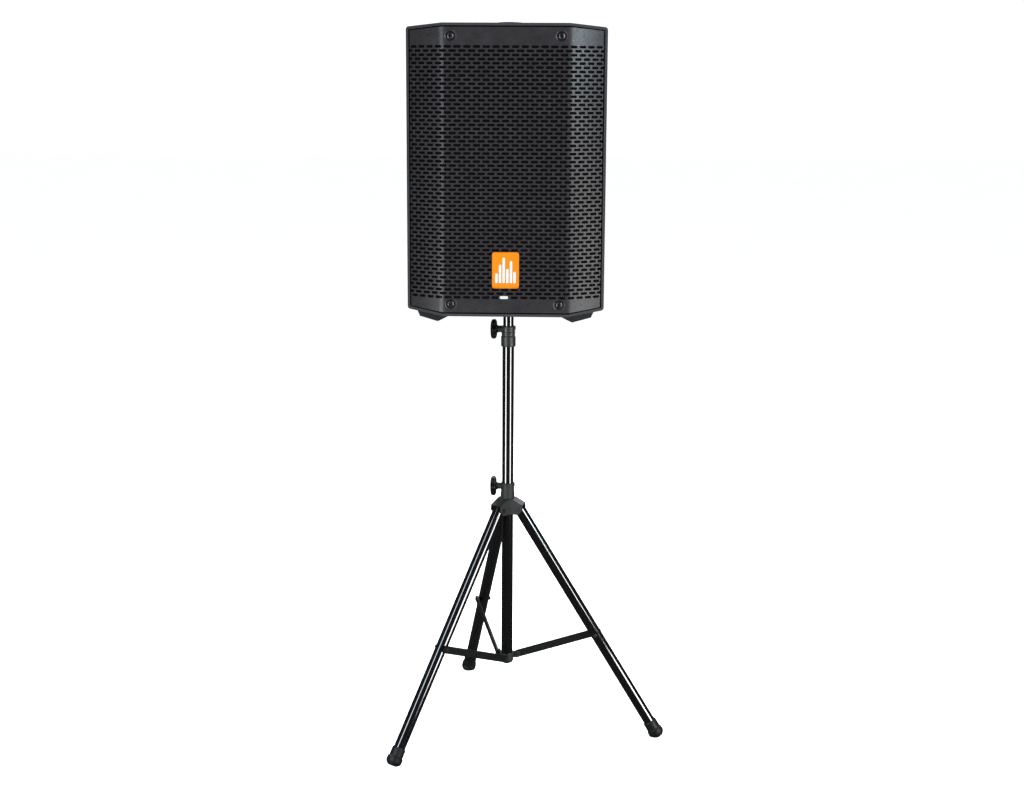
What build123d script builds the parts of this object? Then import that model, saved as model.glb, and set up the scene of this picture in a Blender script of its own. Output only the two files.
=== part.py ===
from build123d import *
import os
from math import acos, asin, atan, cos, degrees, hypot, radians, sin, tan

# A powered loudspeaker on a folding tripod stand, in millimetres.
# Origin: on the floor, on the axis of the stand. +Z is up and the speaker faces -Y.

# ---- cabinet ----
CABINET_WIDTH = 450.0
FLAT_WIDTH = 283.0  # the middle face, between the two folds
FRONT_Y = -230.0
FACET_DEPTH = 46.0  # how far each folded side of the front leans back
TAPER_Y = -150.0  # the sides taper from here to the back
BACK_Y = 150.0
BACK_WIDTH = 270.0
BOTTOM_Z = 1065.0
TOP_Z = 1716.0
TOP_DROP = 8.0
BOTTOM_RISE = 11.0
WALL = 5.0
LIP = 6.0
GROOVE = 3.0
PARTING_Y = -60.0  # the front and rear shells meet here
EDGE_ROUND = 12.0
EDGE_SOFT = 7.0  # round-over between the sides and the top and bottom
FOOT_DROP = 13.5  # height of the cabinet's own feet
GRIP_RISE = 8.5  # how far the handle's arch stands above the top

HALF_FLAT = FLAT_WIDTH / 2
FACET_RUN = (CABINET_WIDTH - FLAT_WIDTH) / 2
FACET_ANGLE = atan(FACET_DEPTH / FACET_RUN)
SIDE_SLOPE = (CABINET_WIDTH - BACK_WIDTH) / 2 / (BACK_Y - TAPER_Y)

# ---- front ----
BAFFLE_Y = -178.0
BAFFLE_BACK_Y = -163.0
SHEET = 1.6
FOAM = 4.0
SCREW_X = 123.0
SCREW_TOP_Z = 1688.0
SCREW_BOTTOM_Z = 1093.0
DIMPLE_RADIUS = 13.5
DIMPLE_DEPTH = 4.0
BADGE_X = 1.5
BADGE_Z = 1171.0
BADGE_WIDTH = 61.0
BADGE_HEIGHT = 82.0
LED_X = -2.0
LED_Z = 1109.0
LED_WIDTH = 19.0
LED_HEIGHT = 6.4
LED_CORNER = 3.1

# ---- woofer, horn and ports ----
WOOFER_Z = 1280.0
WOOFER_RADIUS = 193.0
WOOFER_BORE = 172.0
CONE_RADIUS = 150.0
COIL_RADIUS = 38.0
HORN_Z = 1582.0
HORN_WIDTH = 330.0
HORN_HEIGHT = 170.0
THROAT_RADIUS = 12.7
THROAT_Y = -62.0
PORT_X = 158.0
PORT_Z = 1112.0
PORT_RADIUS = 28.0

# ---- amplifier ----
PANEL_Z = 1400.0
PANEL_WIDTH = 200.0
PANEL_HEIGHT = 320.0
PANEL = 3.0
BOARD_Y = 112.0
FIN_PITCH = 10.0
ROCKER_TILT = 7.0
KNOB_SPOTS = [(-62.0, 1384.0), (-22.0, 1384.0)]
SOCKET_SPOTS = [(-62.0, 1322.0), (-22.0, 1322.0), (18.0, 1322.0)]
BUTTON_SPOT = (18.0, 1384.0)
INLET_SPOT = (60.0, 1296.0)
ROCKER_SPOT = (60.0, 1346.0)

# ---- handles ----
HANDLE_Y = -6.0
HANDLE_LENGTH = 152.0
HANDLE_OPENING = 84.0
HANDLE_DEPTH = 38.0
SIDE_HANDLE_Y = 20.0
SIDE_HANDLE_Z = 1440.0

# ---- stand ----
FIRST_LEG = -12.0  # azimuth of the first leg, in degrees
FOOT_REACH = 388.0
MAST_RADIUS = 12.5
COLUMN_RADIUS = 14.0
LEG_RADIUS = 14.0
LEG_END = 14.0  # the tube stops this far short of the foot's centre, inside its rubber tip
MAST_BOTTOM_Z = 295.0
MAST_TOP_Z = 1140.0
COLUMN_BOTTOM_Z = 167.0
COLUMN_TOP_Z = 990.0
COLLAR_BOTTOM_Z = 960.0
COLLAR_TOP_Z = 1010.0
UPPER_KNOB_Z = 1002.0
CROWN_BOTTOM_Z = 544.0
ARM_TOP_Z = 582.0
CROWN_TOP_Z = 621.0
LOWER_KNOB_Z = 612.0
PIVOT_RADIUS = 30.0
PIVOT_Z = 557.0
CHEEK = 17.0  # half the width of a crown arm
SLOT = LEG_RADIUS + 0.6
COLLAR_SPAN = 17.2
BRACE_SHARE = 0.55  # how far down the leg the brace is bolted
BRACKET_RADIUS = 24.0
BRACKET_Z = 175.0
BRACKET_BOTTOM_Z = 154.0
BRACE_WIDTH = 18.5
BRACE_THICKNESS = 4.0
BRACE_INNER = 15.4  # the bar's inner face, from the leg's own plane
RUNNING = 0.05
FOLDED_LEAN = radians(2.5)

# The leg leans out from its crown pivot to its foot, and the brace meets it part of the way down.
LEG_LEAN = atan((FOOT_REACH - PIVOT_RADIUS) / PIVOT_Z)
LEG_LENGTH = hypot(FOOT_REACH - PIVOT_RADIUS, PIVOT_Z)
BRACE_DROP = BRACE_SHARE * LEG_LENGTH
KNEE_RADIUS = PIVOT_RADIUS + BRACE_DROP * sin(LEG_LEAN)
KNEE_Z = PIVOT_Z - BRACE_DROP * cos(LEG_LEAN)
BRACE_LENGTH = hypot(KNEE_RADIUS - BRACKET_RADIUS, KNEE_Z - BRACKET_Z)
BRACE_RISE = asin((KNEE_Z - BRACKET_Z) / BRACE_LENGTH)
LEGS = [(number, FIRST_LEG + 120 * (number - 1)) for number in (1, 2, 3)]

os.makedirs("parts", exist_ok=True)


def save(builder, name):
    builder.part.label = name
    export_step(builder.part, f"parts/{name}.step")


def skin_line(depth, half):
    """The folded front seen from above, that far behind its surface and out to x = half."""
    fold = HALF_FLAT - depth * tan(FACET_ANGLE / 2)
    front = FRONT_Y + depth
    end = FRONT_Y + (half - HALF_FLAT) * tan(FACET_ANGLE) + depth / cos(FACET_ANGLE)
    return [(-half, end), (-fold, front), (fold, front), (half, end)]


def prism(plane, points, amount, mode=Mode.ADD):
    """A straight-sided outline pushed along its plane's normal."""
    with BuildSketch(plane) as outline:
        with BuildLine():
            Polyline(*points, close=True)
        make_face()
    extrude(outline.sketch, amount=amount, mode=mode)


def trim_to_front_outline(inset):
    """Keep only what lies inside the cabinet's front outline, drawn in by inset."""
    half = CABINET_WIDTH / 2 - inset
    low = BOTTOM_Z + inset
    high = TOP_Z - inset
    outline = [
        (-half, low + BOTTOM_RISE),
        (-HALF_FLAT, low),
        (HALF_FLAT, low),
        (half, low + BOTTOM_RISE),
        (half, high - TOP_DROP),
        (HALF_FLAT, high),
        (-HALF_FLAT, high),
        (-half, high - TOP_DROP),
    ]
    prism(Plane.XZ.offset(-2 * BACK_Y), outline, 4 * BACK_Y, Mode.INTERSECT)


def cabinet_block():
    """The cabinet's outside as one solid, with its upright corners rounded."""
    half = CABINET_WIDTH / 2
    back = BACK_WIDTH / 2
    rear = [(half, TAPER_Y), (back, BACK_Y), (-back, BACK_Y), (-half, TAPER_Y)]
    with BuildPart() as block:
        prism(Plane.XY.offset(BOTTOM_Z - 5), skin_line(0, half) + rear, TOP_Z - BOTTOM_Z + 10)
        trim_to_front_outline(0)
        corners = block.edges().filter_by(Axis.Z)
        fillet(corners.filter_by(lambda edge: edge.center().Y > TAPER_Y - 10), EDGE_ROUND)
        rims = block.faces().filter_by(lambda face: abs(face.normal_at().Z) > 0.9).edges()
        fillet(rims.filter_by(lambda edge: edge.center().Y > FRONT_Y + FACET_DEPTH / 2 + 5), EDGE_SOFT)
    return block.part


def cabinet_hollow():
    """The room inside the walls: a straight opening for the baffle and a tapering space behind it."""
    half = CABINET_WIDTH / 2 - WALL
    back = BACK_WIDTH / 2 - WALL
    behind = [
        (-half, BAFFLE_BACK_Y),
        (half, BAFFLE_BACK_Y),
        (half, TAPER_Y),
        (back, BACK_Y - WALL),
        (-back, BACK_Y - WALL),
        (-half, TAPER_Y),
    ]
    with BuildPart() as room:
        prism(Plane.XY.offset(BOTTOM_Z), behind, TOP_Z - BOTTOM_Z)
        trim_to_front_outline(WALL)
    with BuildPart() as mouth:
        opening = CABINET_WIDTH / 2 - LIP
        with BuildSketch(Plane.XY.offset(BOTTOM_Z)):
            with Locations((0, (FRONT_Y + BAFFLE_BACK_Y) / 2 - 10)):
                Rectangle(2 * opening, BAFFLE_BACK_Y - FRONT_Y + 20)
        extrude(amount=TOP_Z - BOTTOM_Z)
        trim_to_front_outline(LIP)
    return room.part + mouth.part


def side_plane(side):
    """A plane on the tapered side wall's outer surface, facing out, at the side handle."""
    lean = atan(SIDE_SLOPE)
    x = CABINET_WIDTH / 2 - SIDE_SLOPE * (SIDE_HANDLE_Y - TAPER_Y)
    return Plane(
        origin=(side * x, SIDE_HANDLE_Y, SIDE_HANDLE_Z),
        x_dir=(-side * sin(lean), cos(lean), 0),
        z_dir=(side * cos(lean), sin(lean), 0),
    )


def turn_y(points, x, z, mode=Mode.ADD):
    """Spin a profile of (y, radius) points about a line along Y through (x, z)."""
    with BuildSketch(Plane.YZ.offset(x)) as profile:
        with BuildLine():
            Polyline(*[(y, z + radius) for y, radius in points], close=True)
        make_face()
    revolve(profile.sketch, axis=Axis((x, 0, z), (0, 1, 0)), mode=mode)


def turn_z(points, mode=Mode.ADD):
    """Spin a profile of (radius, z) points about the stand's axis."""
    with BuildSketch(Plane.XZ) as profile:
        with BuildLine():
            Polyline(*points, close=True)
        make_face()
    revolve(profile.sketch, axis=Axis.Z, mode=mode)


def peg_y(x, z, radius, low_y, high_y, mode=Mode.ADD):
    """A round peg or hole along Y."""
    with BuildSketch(Plane.XZ.offset(-high_y)) as end:
        with Locations((x, z)):
            Circle(radius)
    extrude(end.sketch, amount=high_y - low_y, mode=mode)


def block_y(x, z, width, height, low_y, high_y, corner=0.0, mode=Mode.ADD):
    """A block or opening along Y, with rounded upright corners where corner is given."""
    with BuildSketch(Plane.XZ.offset(-high_y)) as end:
        with Locations((x, z)):
            if corner:
                RectangleRounded(width, height, corner)
            else:
                Rectangle(width, height)
    extrude(end.sketch, amount=high_y - low_y, mode=mode)


def radial_point(azimuth, radius, side, z):
    """A point in a leg's own frame: outwards, sideways and up."""
    a = radians(azimuth)
    return (radius * cos(a) - side * sin(a), radius * sin(a) + side * cos(a), z)


def radial_plane(azimuth, side):
    """The upright plane of a leg, moved sideways. Its x is outwards, its y is up, and it faces back."""
    a = radians(azimuth)
    return Plane(
        origin=radial_point(azimuth, 0, side, 0),
        x_dir=(cos(a), sin(a), 0),
        z_dir=(sin(a), -cos(a), 0),
    )


def cross_pin(azimuth, radius, z, pin_radius, low, high, mode=Mode.ADD):
    """A round pin or hole across a leg's plane, from one side distance to another."""
    with BuildSketch(radial_plane(azimuth, high)) as end:
        with Locations((radius, z)):
            Circle(pin_radius)
    extrude(end.sketch, amount=high - low, mode=mode)


def leg_plane(azimuth, distance):
    """A plane square to the leg, that far down from its pivot, facing its foot."""
    radius = PIVOT_RADIUS + distance * sin(LEG_LEAN)
    z = PIVOT_Z - distance * cos(LEG_LEAN)
    a = radians(azimuth)
    down = (sin(LEG_LEAN) * cos(a), sin(LEG_LEAN) * sin(a), -cos(LEG_LEAN))
    return Plane(origin=radial_point(azimuth, radius, 0, z), z_dir=down)


def turn_leg(azimuth, points, mode=Mode.ADD):
    """Spin a profile of (radius, distance down the leg) points about the leg's axis."""
    a = radians(azimuth)
    down = (sin(LEG_LEAN) * cos(a), sin(LEG_LEAN) * sin(a), -cos(LEG_LEAN))
    pivot = radial_point(azimuth, PIVOT_RADIUS, 0, PIVOT_Z)
    out = (cos(LEG_LEAN) * cos(a), cos(LEG_LEAN) * sin(a), sin(LEG_LEAN))
    with BuildSketch(Plane(origin=pivot, x_dir=out, z_dir=(-sin(a), cos(a), 0))) as profile:
        with BuildLine():
            Polyline(*points, close=True)
        make_face()
    revolve(profile.sketch, axis=Axis(pivot, down), mode=mode)


def collar_boss(z, start, end):
    """The round boss on a collar's left side that takes the clamp screw."""
    with BuildSketch(Plane.YZ.offset(-end)) as face:
        with Locations((0, z)):
            Circle(8)
    extrude(face.sketch, amount=end - start)


def collar_lug(z):
    """The small lug opposite the clamp screw."""
    with BuildSketch(Plane.YZ.offset(14)) as face:
        with Locations((0, z)):
            Rectangle(9, 8)
    extrude(face.sketch, amount=3.6)


def collar_screw_hole(z):
    """The clamp screw's hole, from the bore out through the boss."""
    with BuildSketch(Plane.YZ.offset(-40)) as face:
        with Locations((0, z)):
            Circle(4.1)
    extrude(face.sketch, amount=34, mode=Mode.SUBTRACT)


def clamp_knob(z, tip):
    """A lobed knob on the stand's left side, with the screw that presses on the tube."""
    with BuildPart() as knob:
        with BuildSketch(Plane.YZ.offset(-43)) as head:
            with Locations((0, z)):
                Circle(20)
                with PolarLocations(18.5, 6):
                    Circle(6.5)
        extrude(head.sketch, amount=16)
        chamfer(knob.faces().filter_by(Axis.X).edges(), 3)
        with BuildSketch(Plane.YZ.offset(-28)) as hub:
            with Locations((0, z)):
                Circle(9)
        extrude(hub.sketch, amount=4)
        with BuildSketch(Plane.YZ.offset(-26)) as screw:
            with Locations((0, z)):
                Circle(4)
        extrude(screw.sketch, amount=26 - tip)
    return knob


# ---------------------------------------------------------------- cabinet shells

OUTSIDE = cabinet_block()
HOLLOW = cabinet_hollow()

with BuildPart() as front_shell:
    add(OUTSIDE)
    add(HOLLOW, mode=Mode.SUBTRACT)
    split(bisect_by=Plane.XZ.offset(-PARTING_Y), keep=Keep.TOP)
save(front_shell, "front_shell")

with BuildPart() as rear_shell:
    add(OUTSIDE)
    add(HOLLOW, mode=Mode.SUBTRACT)
    split(bisect_by=Plane.XZ.offset(-PARTING_Y), keep=Keep.BOTTOM)
    # recess for the top handle
    with BuildSketch(Plane.XY.offset(TOP_Z - HANDLE_DEPTH - 3)) as handle_box:
        with Locations((0, HANDLE_Y)):
            Rectangle(HANDLE_LENGTH + 6, HANDLE_OPENING + 6)
    extrude(handle_box.sketch, amount=HANDLE_DEPTH)
    with BuildSketch(Plane.XY.offset(TOP_Z - HANDLE_DEPTH)) as handle_recess:
        with Locations((0, HANDLE_Y)):
            RectangleRounded(HANDLE_LENGTH, HANDLE_OPENING, 10)
    extrude(handle_recess.sketch, amount=HANDLE_DEPTH + 5, mode=Mode.SUBTRACT)
    # recesses for the side handles
    for side in (-1, 1):
        with BuildSketch(side_plane(side).offset(-1)) as outer_pocket:
            Rectangle(136, 76)
        extrude(outer_pocket.sketch, amount=-40)
    for side in (-1, 1):
        with BuildSketch(side_plane(side).offset(5)) as inner_pocket:
            RectangleRounded(130, 70, 14)
        extrude(inner_pocket.sketch, amount=-43, mode=Mode.SUBTRACT)
    # opening for the amplifier
    block_y(0, PANEL_Z, PANEL_WIDTH - 16, PANEL_HEIGHT - 16, BACK_Y - 20, BACK_Y + 5, 4, Mode.SUBTRACT)
    for x in (-92, 92):
        for z in (PANEL_Z - 152, PANEL_Z - 51, PANEL_Z + 51, PANEL_Z + 152):
            peg_y(x, z, 1.8, BACK_Y - 20, BACK_Y + 5, Mode.SUBTRACT)
    # hole for the pole socket
    with BuildSketch(Plane.XY.offset(BOTTOM_Z - 5)) as pole_hole:
        Circle(21.2)
    extrude(pole_hole.sketch, amount=20, mode=Mode.SUBTRACT)
    # holes for the rigging points
    with BuildSketch(Plane.XY.offset(TOP_Z - 30)) as rigging_holes:
        with Locations((-90, 70), (90, 70)):
            Circle(9)
    extrude(rigging_holes.sketch, amount=40, mode=Mode.SUBTRACT)
    peg_y(0, 1640, 9, BACK_Y - 20, BACK_Y + 5, Mode.SUBTRACT)
save(rear_shell, "rear_shell")

with BuildPart() as cabinet_feet:
    for side in (-1, 1):
        foot = [
            (side * 128, BOTTOM_Z),
            (side * HALF_FLAT, BOTTOM_Z),
            (side * 202, BOTTOM_Z + BOTTOM_RISE * (202 - HALF_FLAT) / FACET_RUN),
            (side * 196, BOTTOM_Z - 5),
            (side * 153, BOTTOM_Z - FOOT_DROP),
        ]
        prism(Plane.XZ.offset(130), foot, 120)
    keep_front = skin_line(5, 240) + [(240, -145), (-240, -145)]
    prism(Plane.XY.offset(BOTTOM_Z - 20), keep_front, 60, Mode.INTERSECT)
    for side in (-1, 1):
        with BuildSketch(Plane.XY.offset(BOTTOM_Z)):
            with Locations((side * 110, 112)):
                RectangleRounded(44, 44, 8)
        extrude(amount=-FOOT_DROP, taper=8)
save(cabinet_feet, "cabinet_feet")

with BuildPart() as top_handle_grip:
    half_grip = HANDLE_LENGTH / 2
    with BuildSketch(Plane.XZ.offset(-HANDLE_Y - 15)):
        with BuildLine():
            Polyline(
                (half_grip, TOP_Z - 2),
                (half_grip, TOP_Z - 16),
                (-half_grip, TOP_Z - 16),
                (-half_grip, TOP_Z - 2),
            )
            ThreePointArc((-half_grip, TOP_Z - 2), (0, TOP_Z + GRIP_RISE), (half_grip, TOP_Z - 2))
        make_face()
    extrude(amount=30)
    fillet(top_handle_grip.edges().filter_by(lambda edge: abs(edge.tangent_at(0.5).X) > 0.9), 4)
save(top_handle_grip, "top_handle_grip")

with BuildPart() as pole_socket:
    flange = [(18, 1062), (38, 1062), (38, BOTTOM_Z), (21, BOTTOM_Z)]
    turn_z(flange + [(21, 1150), (0, 1150), (0, 1146.4), (18, 1146.4)])
save(pole_socket, "pole_socket")

with BuildPart() as rigging_inserts:
    with BuildSketch(Plane.XY.offset(TOP_Z - 22)):
        with Locations((-90, 70), (90, 70)):
            Circle(9)
    extrude(amount=22)
    with BuildSketch(Plane.XY.offset(TOP_Z - 18)):
        with Locations((-90, 70), (90, 70)):
            Circle(4.25)
    extrude(amount=20, mode=Mode.SUBTRACT)
    peg_y(0, 1640, 9, BACK_Y - 22, BACK_Y)
    peg_y(0, 1640, 4.25, BACK_Y - 18, BACK_Y + 2, Mode.SUBTRACT)
save(rigging_inserts, "rigging_inserts")

# ---------------------------------------------------------------- front: baffle, grille, badge

SCREW_SPOTS = [(x, z) for x in (-SCREW_X, SCREW_X) for z in (SCREW_BOTTOM_Z, SCREW_TOP_Z)]
FLOOR_Y = FRONT_Y + DIMPLE_DEPTH + SHEET  # back of a dimple's floor

with BuildPart() as front_baffle:
    block_y(0, (BOTTOM_Z + TOP_Z) / 2, 2 * CABINET_WIDTH, 2 * TOP_Z, BAFFLE_Y, BAFFLE_BACK_Y)
    trim_to_front_outline(LIP)
    peg_y(0, WOOFER_Z, WOOFER_BORE, BAFFLE_Y - 1, BAFFLE_BACK_Y + 1, Mode.SUBTRACT)
    block_y(0, HORN_Z, HORN_WIDTH + 8, HORN_HEIGHT + 8, BAFFLE_Y - 1, BAFFLE_BACK_Y + 1, 24, Mode.SUBTRACT)
    for x, z in SCREW_SPOTS:
        peg_y(x, z, 6, FLOOR_Y, BAFFLE_Y)
        peg_y(x, z, 2.6, FLOOR_Y - 1, BAFFLE_Y, Mode.SUBTRACT)
    for side in (-1, 1):
        peg_y(side * PORT_X, PORT_Z, PORT_RADIUS + 3, BAFFLE_Y, BAFFLE_Y + 95)
    for side in (-1, 1):
        peg_y(side * PORT_X, PORT_Z, PORT_RADIUS, BAFFLE_Y - 1, BAFFLE_Y + 96, Mode.SUBTRACT)
save(front_baffle, "front_baffle")

with BuildPart() as grille:
    edge = CABINET_WIDTH / 2 - LIP - GROOVE
    sheet = skin_line(0, edge) + skin_line(SHEET, edge)[::-1]
    prism(Plane.XY.offset(BOTTOM_Z), sheet, TOP_Z - BOTTOM_Z)
    trim_to_front_outline(LIP + GROOVE)
    for x, z in SCREW_SPOTS:
        peg_y(x, z, DIMPLE_RADIUS, FRONT_Y + SHEET / 2, FLOOR_Y)
        peg_y(x, z, DIMPLE_RADIUS - SHEET, FRONT_Y - 1, FLOOR_Y - SHEET, Mode.SUBTRACT)
        peg_y(x, z, 2.7, FRONT_Y, FLOOR_Y + 1, Mode.SUBTRACT)
    block_y(LED_X, LED_Z, LED_WIDTH + 0.4, LED_HEIGHT + 0.4, FRONT_Y - 1, FRONT_Y + 5, 3.3, Mode.SUBTRACT)
save(grille, "grille")

with BuildPart() as grille_foam:
    edge = CABINET_WIDTH / 2 - LIP - GROOVE - 2
    layer = skin_line(SHEET, edge) + skin_line(SHEET + FOAM, edge)[::-1]
    prism(Plane.XY.offset(BOTTOM_Z), layer, TOP_Z - BOTTOM_Z)
    trim_to_front_outline(LIP + GROOVE + 2)
    for x, z in SCREW_SPOTS:
        peg_y(x, z, DIMPLE_RADIUS + 1, FRONT_Y - 1, FRONT_Y + 10, Mode.SUBTRACT)
    block_y(LED_X, LED_Z, LED_WIDTH + 8, LED_HEIGHT + 6, FRONT_Y - 1, FRONT_Y + 10, 1, Mode.SUBTRACT)
save(grille_foam, "grille_foam")

with BuildPart() as grille_screws:
    for x, z in SCREW_SPOTS:
        peg_y(x, z, 9, FRONT_Y - 0.5, FLOOR_Y - SHEET)
        peg_y(x, z, 2.5, FLOOR_Y - SHEET, FLOOR_Y + 25)
        peg_y(x, z, 4, FRONT_Y - 1, FRONT_Y + 1.5, Mode.SUBTRACT)
save(grille_screws, "grille_screws")

with BuildPart() as badge:
    block_y(BADGE_X, BADGE_Z, BADGE_WIDTH, BADGE_HEIGHT, FRONT_Y - 2.5, FRONT_Y, 8)
    chamfer(badge.faces().sort_by(Axis.Y)[0].edges(), 0.8)
save(badge, "badge")

with BuildPart() as led_lens:
    block_y(LED_X, LED_Z, LED_WIDTH, LED_HEIGHT, FRONT_Y - 1.5, FRONT_Y + SHEET, LED_CORNER)
    block_y(LED_X, LED_Z, LED_WIDTH + 4, LED_HEIGHT + 2, FRONT_Y + SHEET, FRONT_Y + 9)
save(led_lens, "led_lens")

# ---------------------------------------------------------------- woofer and horn

with BuildPart() as woofer_basket:
    rim = [(BAFFLE_Y - 4, 158), (BAFFLE_Y - 4, WOOFER_RADIUS), (BAFFLE_Y, WOOFER_RADIUS), (BAFFLE_Y, 170)]
    back = [(-84, 84), (-80, 84), (-80, 48), (-84, 48), (-84, 78), (-174, 158)]
    turn_y(rim + back, 0, WOOFER_Z)
    with BuildSketch(Plane.XZ.offset(92)) as windows:
        with Locations((0, WOOFER_Z)):
            with PolarLocations(123, 6, start_angle=30):
                RectangleRounded(64, 78, 12)
    extrude(windows.sketch, amount=66, mode=Mode.SUBTRACT)
save(woofer_basket, "woofer_basket")

with BuildPart() as woofer_surround:
    with BuildSketch(Plane.YZ) as roll:
        with BuildLine():
            Line((BAFFLE_Y - 5.5, WOOFER_Z + CONE_RADIUS), (BAFFLE_Y - 5.5, WOOFER_Z + CONE_RADIUS + 6))
            ThreePointArc(
                (BAFFLE_Y - 5.5, WOOFER_Z + CONE_RADIUS + 6),
                (BAFFLE_Y - 14, WOOFER_Z + CONE_RADIUS + 14.5),
                (BAFFLE_Y - 5.5, WOOFER_Z + CONE_RADIUS + 23),
            )
            Polyline(
                (BAFFLE_Y - 5.5, WOOFER_Z + CONE_RADIUS + 23),
                (BAFFLE_Y - 5.5, WOOFER_Z + CONE_RADIUS + 27),
                (BAFFLE_Y - 4, WOOFER_Z + CONE_RADIUS + 27),
                (BAFFLE_Y - 4, WOOFER_Z + CONE_RADIUS + 21.5),
            )
            ThreePointArc(
                (BAFFLE_Y - 4, WOOFER_Z + CONE_RADIUS + 21.5),
                (BAFFLE_Y - 12.5, WOOFER_Z + CONE_RADIUS + 14.5),
                (BAFFLE_Y - 4, WOOFER_Z + CONE_RADIUS + 7.5),
            )
            Polyline(
                (BAFFLE_Y - 4, WOOFER_Z + CONE_RADIUS + 7.5),
                (BAFFLE_Y - 4, WOOFER_Z + CONE_RADIUS),
                (BAFFLE_Y - 5.5, WOOFER_Z + CONE_RADIUS),
            )
        make_face()
    revolve(roll.sketch, axis=Axis((0, 0, WOOFER_Z), (0, 1, 0)))
save(woofer_surround, "woofer_surround")

with BuildPart() as woofer_cone:
    face = [(BAFFLE_Y - 4, CONE_RADIUS + 5), (BAFFLE_Y - 4, CONE_RADIUS - 2), (-117, COIL_RADIUS)]
    back = [(-115, COIL_RADIUS), (BAFFLE_Y - 2.5, CONE_RADIUS), (BAFFLE_Y - 2.5, CONE_RADIUS + 5)]
    turn_y(face + back, 0, WOOFER_Z)
save(woofer_cone, "woofer_cone")

with BuildPart() as dust_cap:
    cap_reach = 54.0
    cap_height = 19.0
    cap_wall = 1.4
    cone_slope = (CONE_RADIUS - 2 - COIL_RADIUS) / (BAFFLE_Y - 4 + 117)
    cap_y = -117 + (cap_reach - COIL_RADIUS) / cone_slope - 0.2
    sphere = (cap_reach**2 + cap_height**2) / (2 * cap_height)
    centre_y = cap_y - cap_height + sphere
    with BuildSketch(Plane.XZ.offset(-cap_y)):
        with Locations((0, WOOFER_Z)):
            Circle(cap_reach + 1)
    extrude(amount=cap_height + 2)
    with Locations((0, centre_y, WOOFER_Z)):
        Sphere(sphere, mode=Mode.INTERSECT)
        Sphere(sphere - cap_wall, mode=Mode.SUBTRACT)
save(dust_cap, "dust_cap")

with BuildPart() as voice_coil:
    former = [(-115, COIL_RADIUS - 0.6), (-115, COIL_RADIUS), (-84, COIL_RADIUS), (-84, COIL_RADIUS + 0.6)]
    winding = [(-66, COIL_RADIUS + 0.6), (-66, COIL_RADIUS - 0.6)]
    turn_y(former + winding, 0, WOOFER_Z)
save(voice_coil, "voice_coil")

with BuildPart() as woofer_spider:
    corrugation = [(-98, COIL_RADIUS + 0.1)]
    crests = [(-98 + 3 * (step % 2), COIL_RADIUS + 5 + 5 * step) for step in range(8)]
    outer = [(-98, 84), (-97, 84)]
    under = [(y + 1, radius) for y, radius in crests[::-1]]
    turn_y(corrugation + crests + outer + under + [(-97, COIL_RADIUS + 0.1)], 0, WOOFER_Z)
save(woofer_spider, "woofer_spider")

with BuildPart() as woofer_magnet:
    turn_y([(-80, 39.4), (-80, 70), (-72, 70), (-72, 39.4)], 0, WOOFER_Z)
    turn_y([(-72, 50), (-72, 85), (-47, 85), (-47, 50)], 0, WOOFER_Z)
save(woofer_magnet, "woofer_magnet")

with BuildPart() as woofer_yoke:
    turn_y([(-80, 0), (-80, 36.6), (-47, 36.6), (-47, 76), (-37, 76), (-37, 0)], 0, WOOFER_Z)
    peg_y(0, WOOFER_Z, 12, -81, -36, Mode.SUBTRACT)
save(woofer_yoke, "woofer_yoke")

HORN_SCREWS = [(x, HORN_Z + z) for x in (-174, 0, 174) for z in (-93.5, 93.5)]

with BuildPart() as horn_waveguide:
    with BuildSketch(Plane.XZ.offset(-BAFFLE_Y)):
        with Locations((0, HORN_Z)):
            RectangleRounded(HORN_WIDTH + 4, HORN_HEIGHT + 4, 22)
    with BuildSketch(Plane.XZ.offset(130)):
        with Locations((0, HORN_Z)):
            RectangleRounded(HORN_WIDTH * 0.5, HORN_HEIGHT * 0.5, 30)
    with BuildSketch(Plane.XZ.offset(-THROAT_Y)):
        with Locations((0, HORN_Z)):
            RectangleRounded(2 * THROAT_RADIUS + 8, 2 * THROAT_RADIUS + 8, THROAT_RADIUS + 3.9)
    loft(ruled=True)
    block_y(0, HORN_Z, HORN_WIDTH + 34, HORN_HEIGHT + 28, BAFFLE_Y - 4, BAFFLE_Y, 12)
    with BuildSketch(Plane.XZ.offset(-BAFFLE_Y + 4)) as near:
        with Locations((0, HORN_Z)):
            RectangleRounded(HORN_WIDTH, HORN_HEIGHT, 20)
    with BuildSketch(Plane.XZ.offset(130)) as middle:
        with Locations((0, HORN_Z)):
            RectangleRounded(HORN_WIDTH * 0.5 - 6, HORN_HEIGHT * 0.5 - 6, 27)
    with BuildSketch(Plane.XZ.offset(-THROAT_Y)) as far:
        with Locations((0, HORN_Z)):
            RectangleRounded(2 * THROAT_RADIUS, 2 * THROAT_RADIUS, THROAT_RADIUS - 0.1)
    loft([near.sketch.face(), middle.sketch.face(), far.sketch.face()], ruled=True, mode=Mode.SUBTRACT)
    for x, z in HORN_SCREWS:
        peg_y(x, z, 2.2, BAFFLE_Y - 5, BAFFLE_Y + 1, Mode.SUBTRACT)
save(horn_waveguide, "horn_waveguide")

with BuildPart() as compression_driver:
    snout = [(THROAT_Y, THROAT_RADIUS), (THROAT_Y, 38), (THROAT_Y + 8, 38), (THROAT_Y + 8, 50)]
    magnet = [(THROAT_Y + 26, 50), (THROAT_Y + 26, 46), (THROAT_Y + 48, 46), (THROAT_Y + 52, 40)]
    core = [(THROAT_Y + 52, 0), (THROAT_Y + 20, 0), (THROAT_Y + 20, THROAT_RADIUS)]
    turn_y(snout + magnet + core, 0, HORN_Z)
save(compression_driver, "compression_driver")

WOOFER_SCREWS = [
    (182 * cos(radians(45 * step + 22.5)), WOOFER_Z + 182 * sin(radians(45 * step + 22.5)))
    for step in range(8)
]

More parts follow.
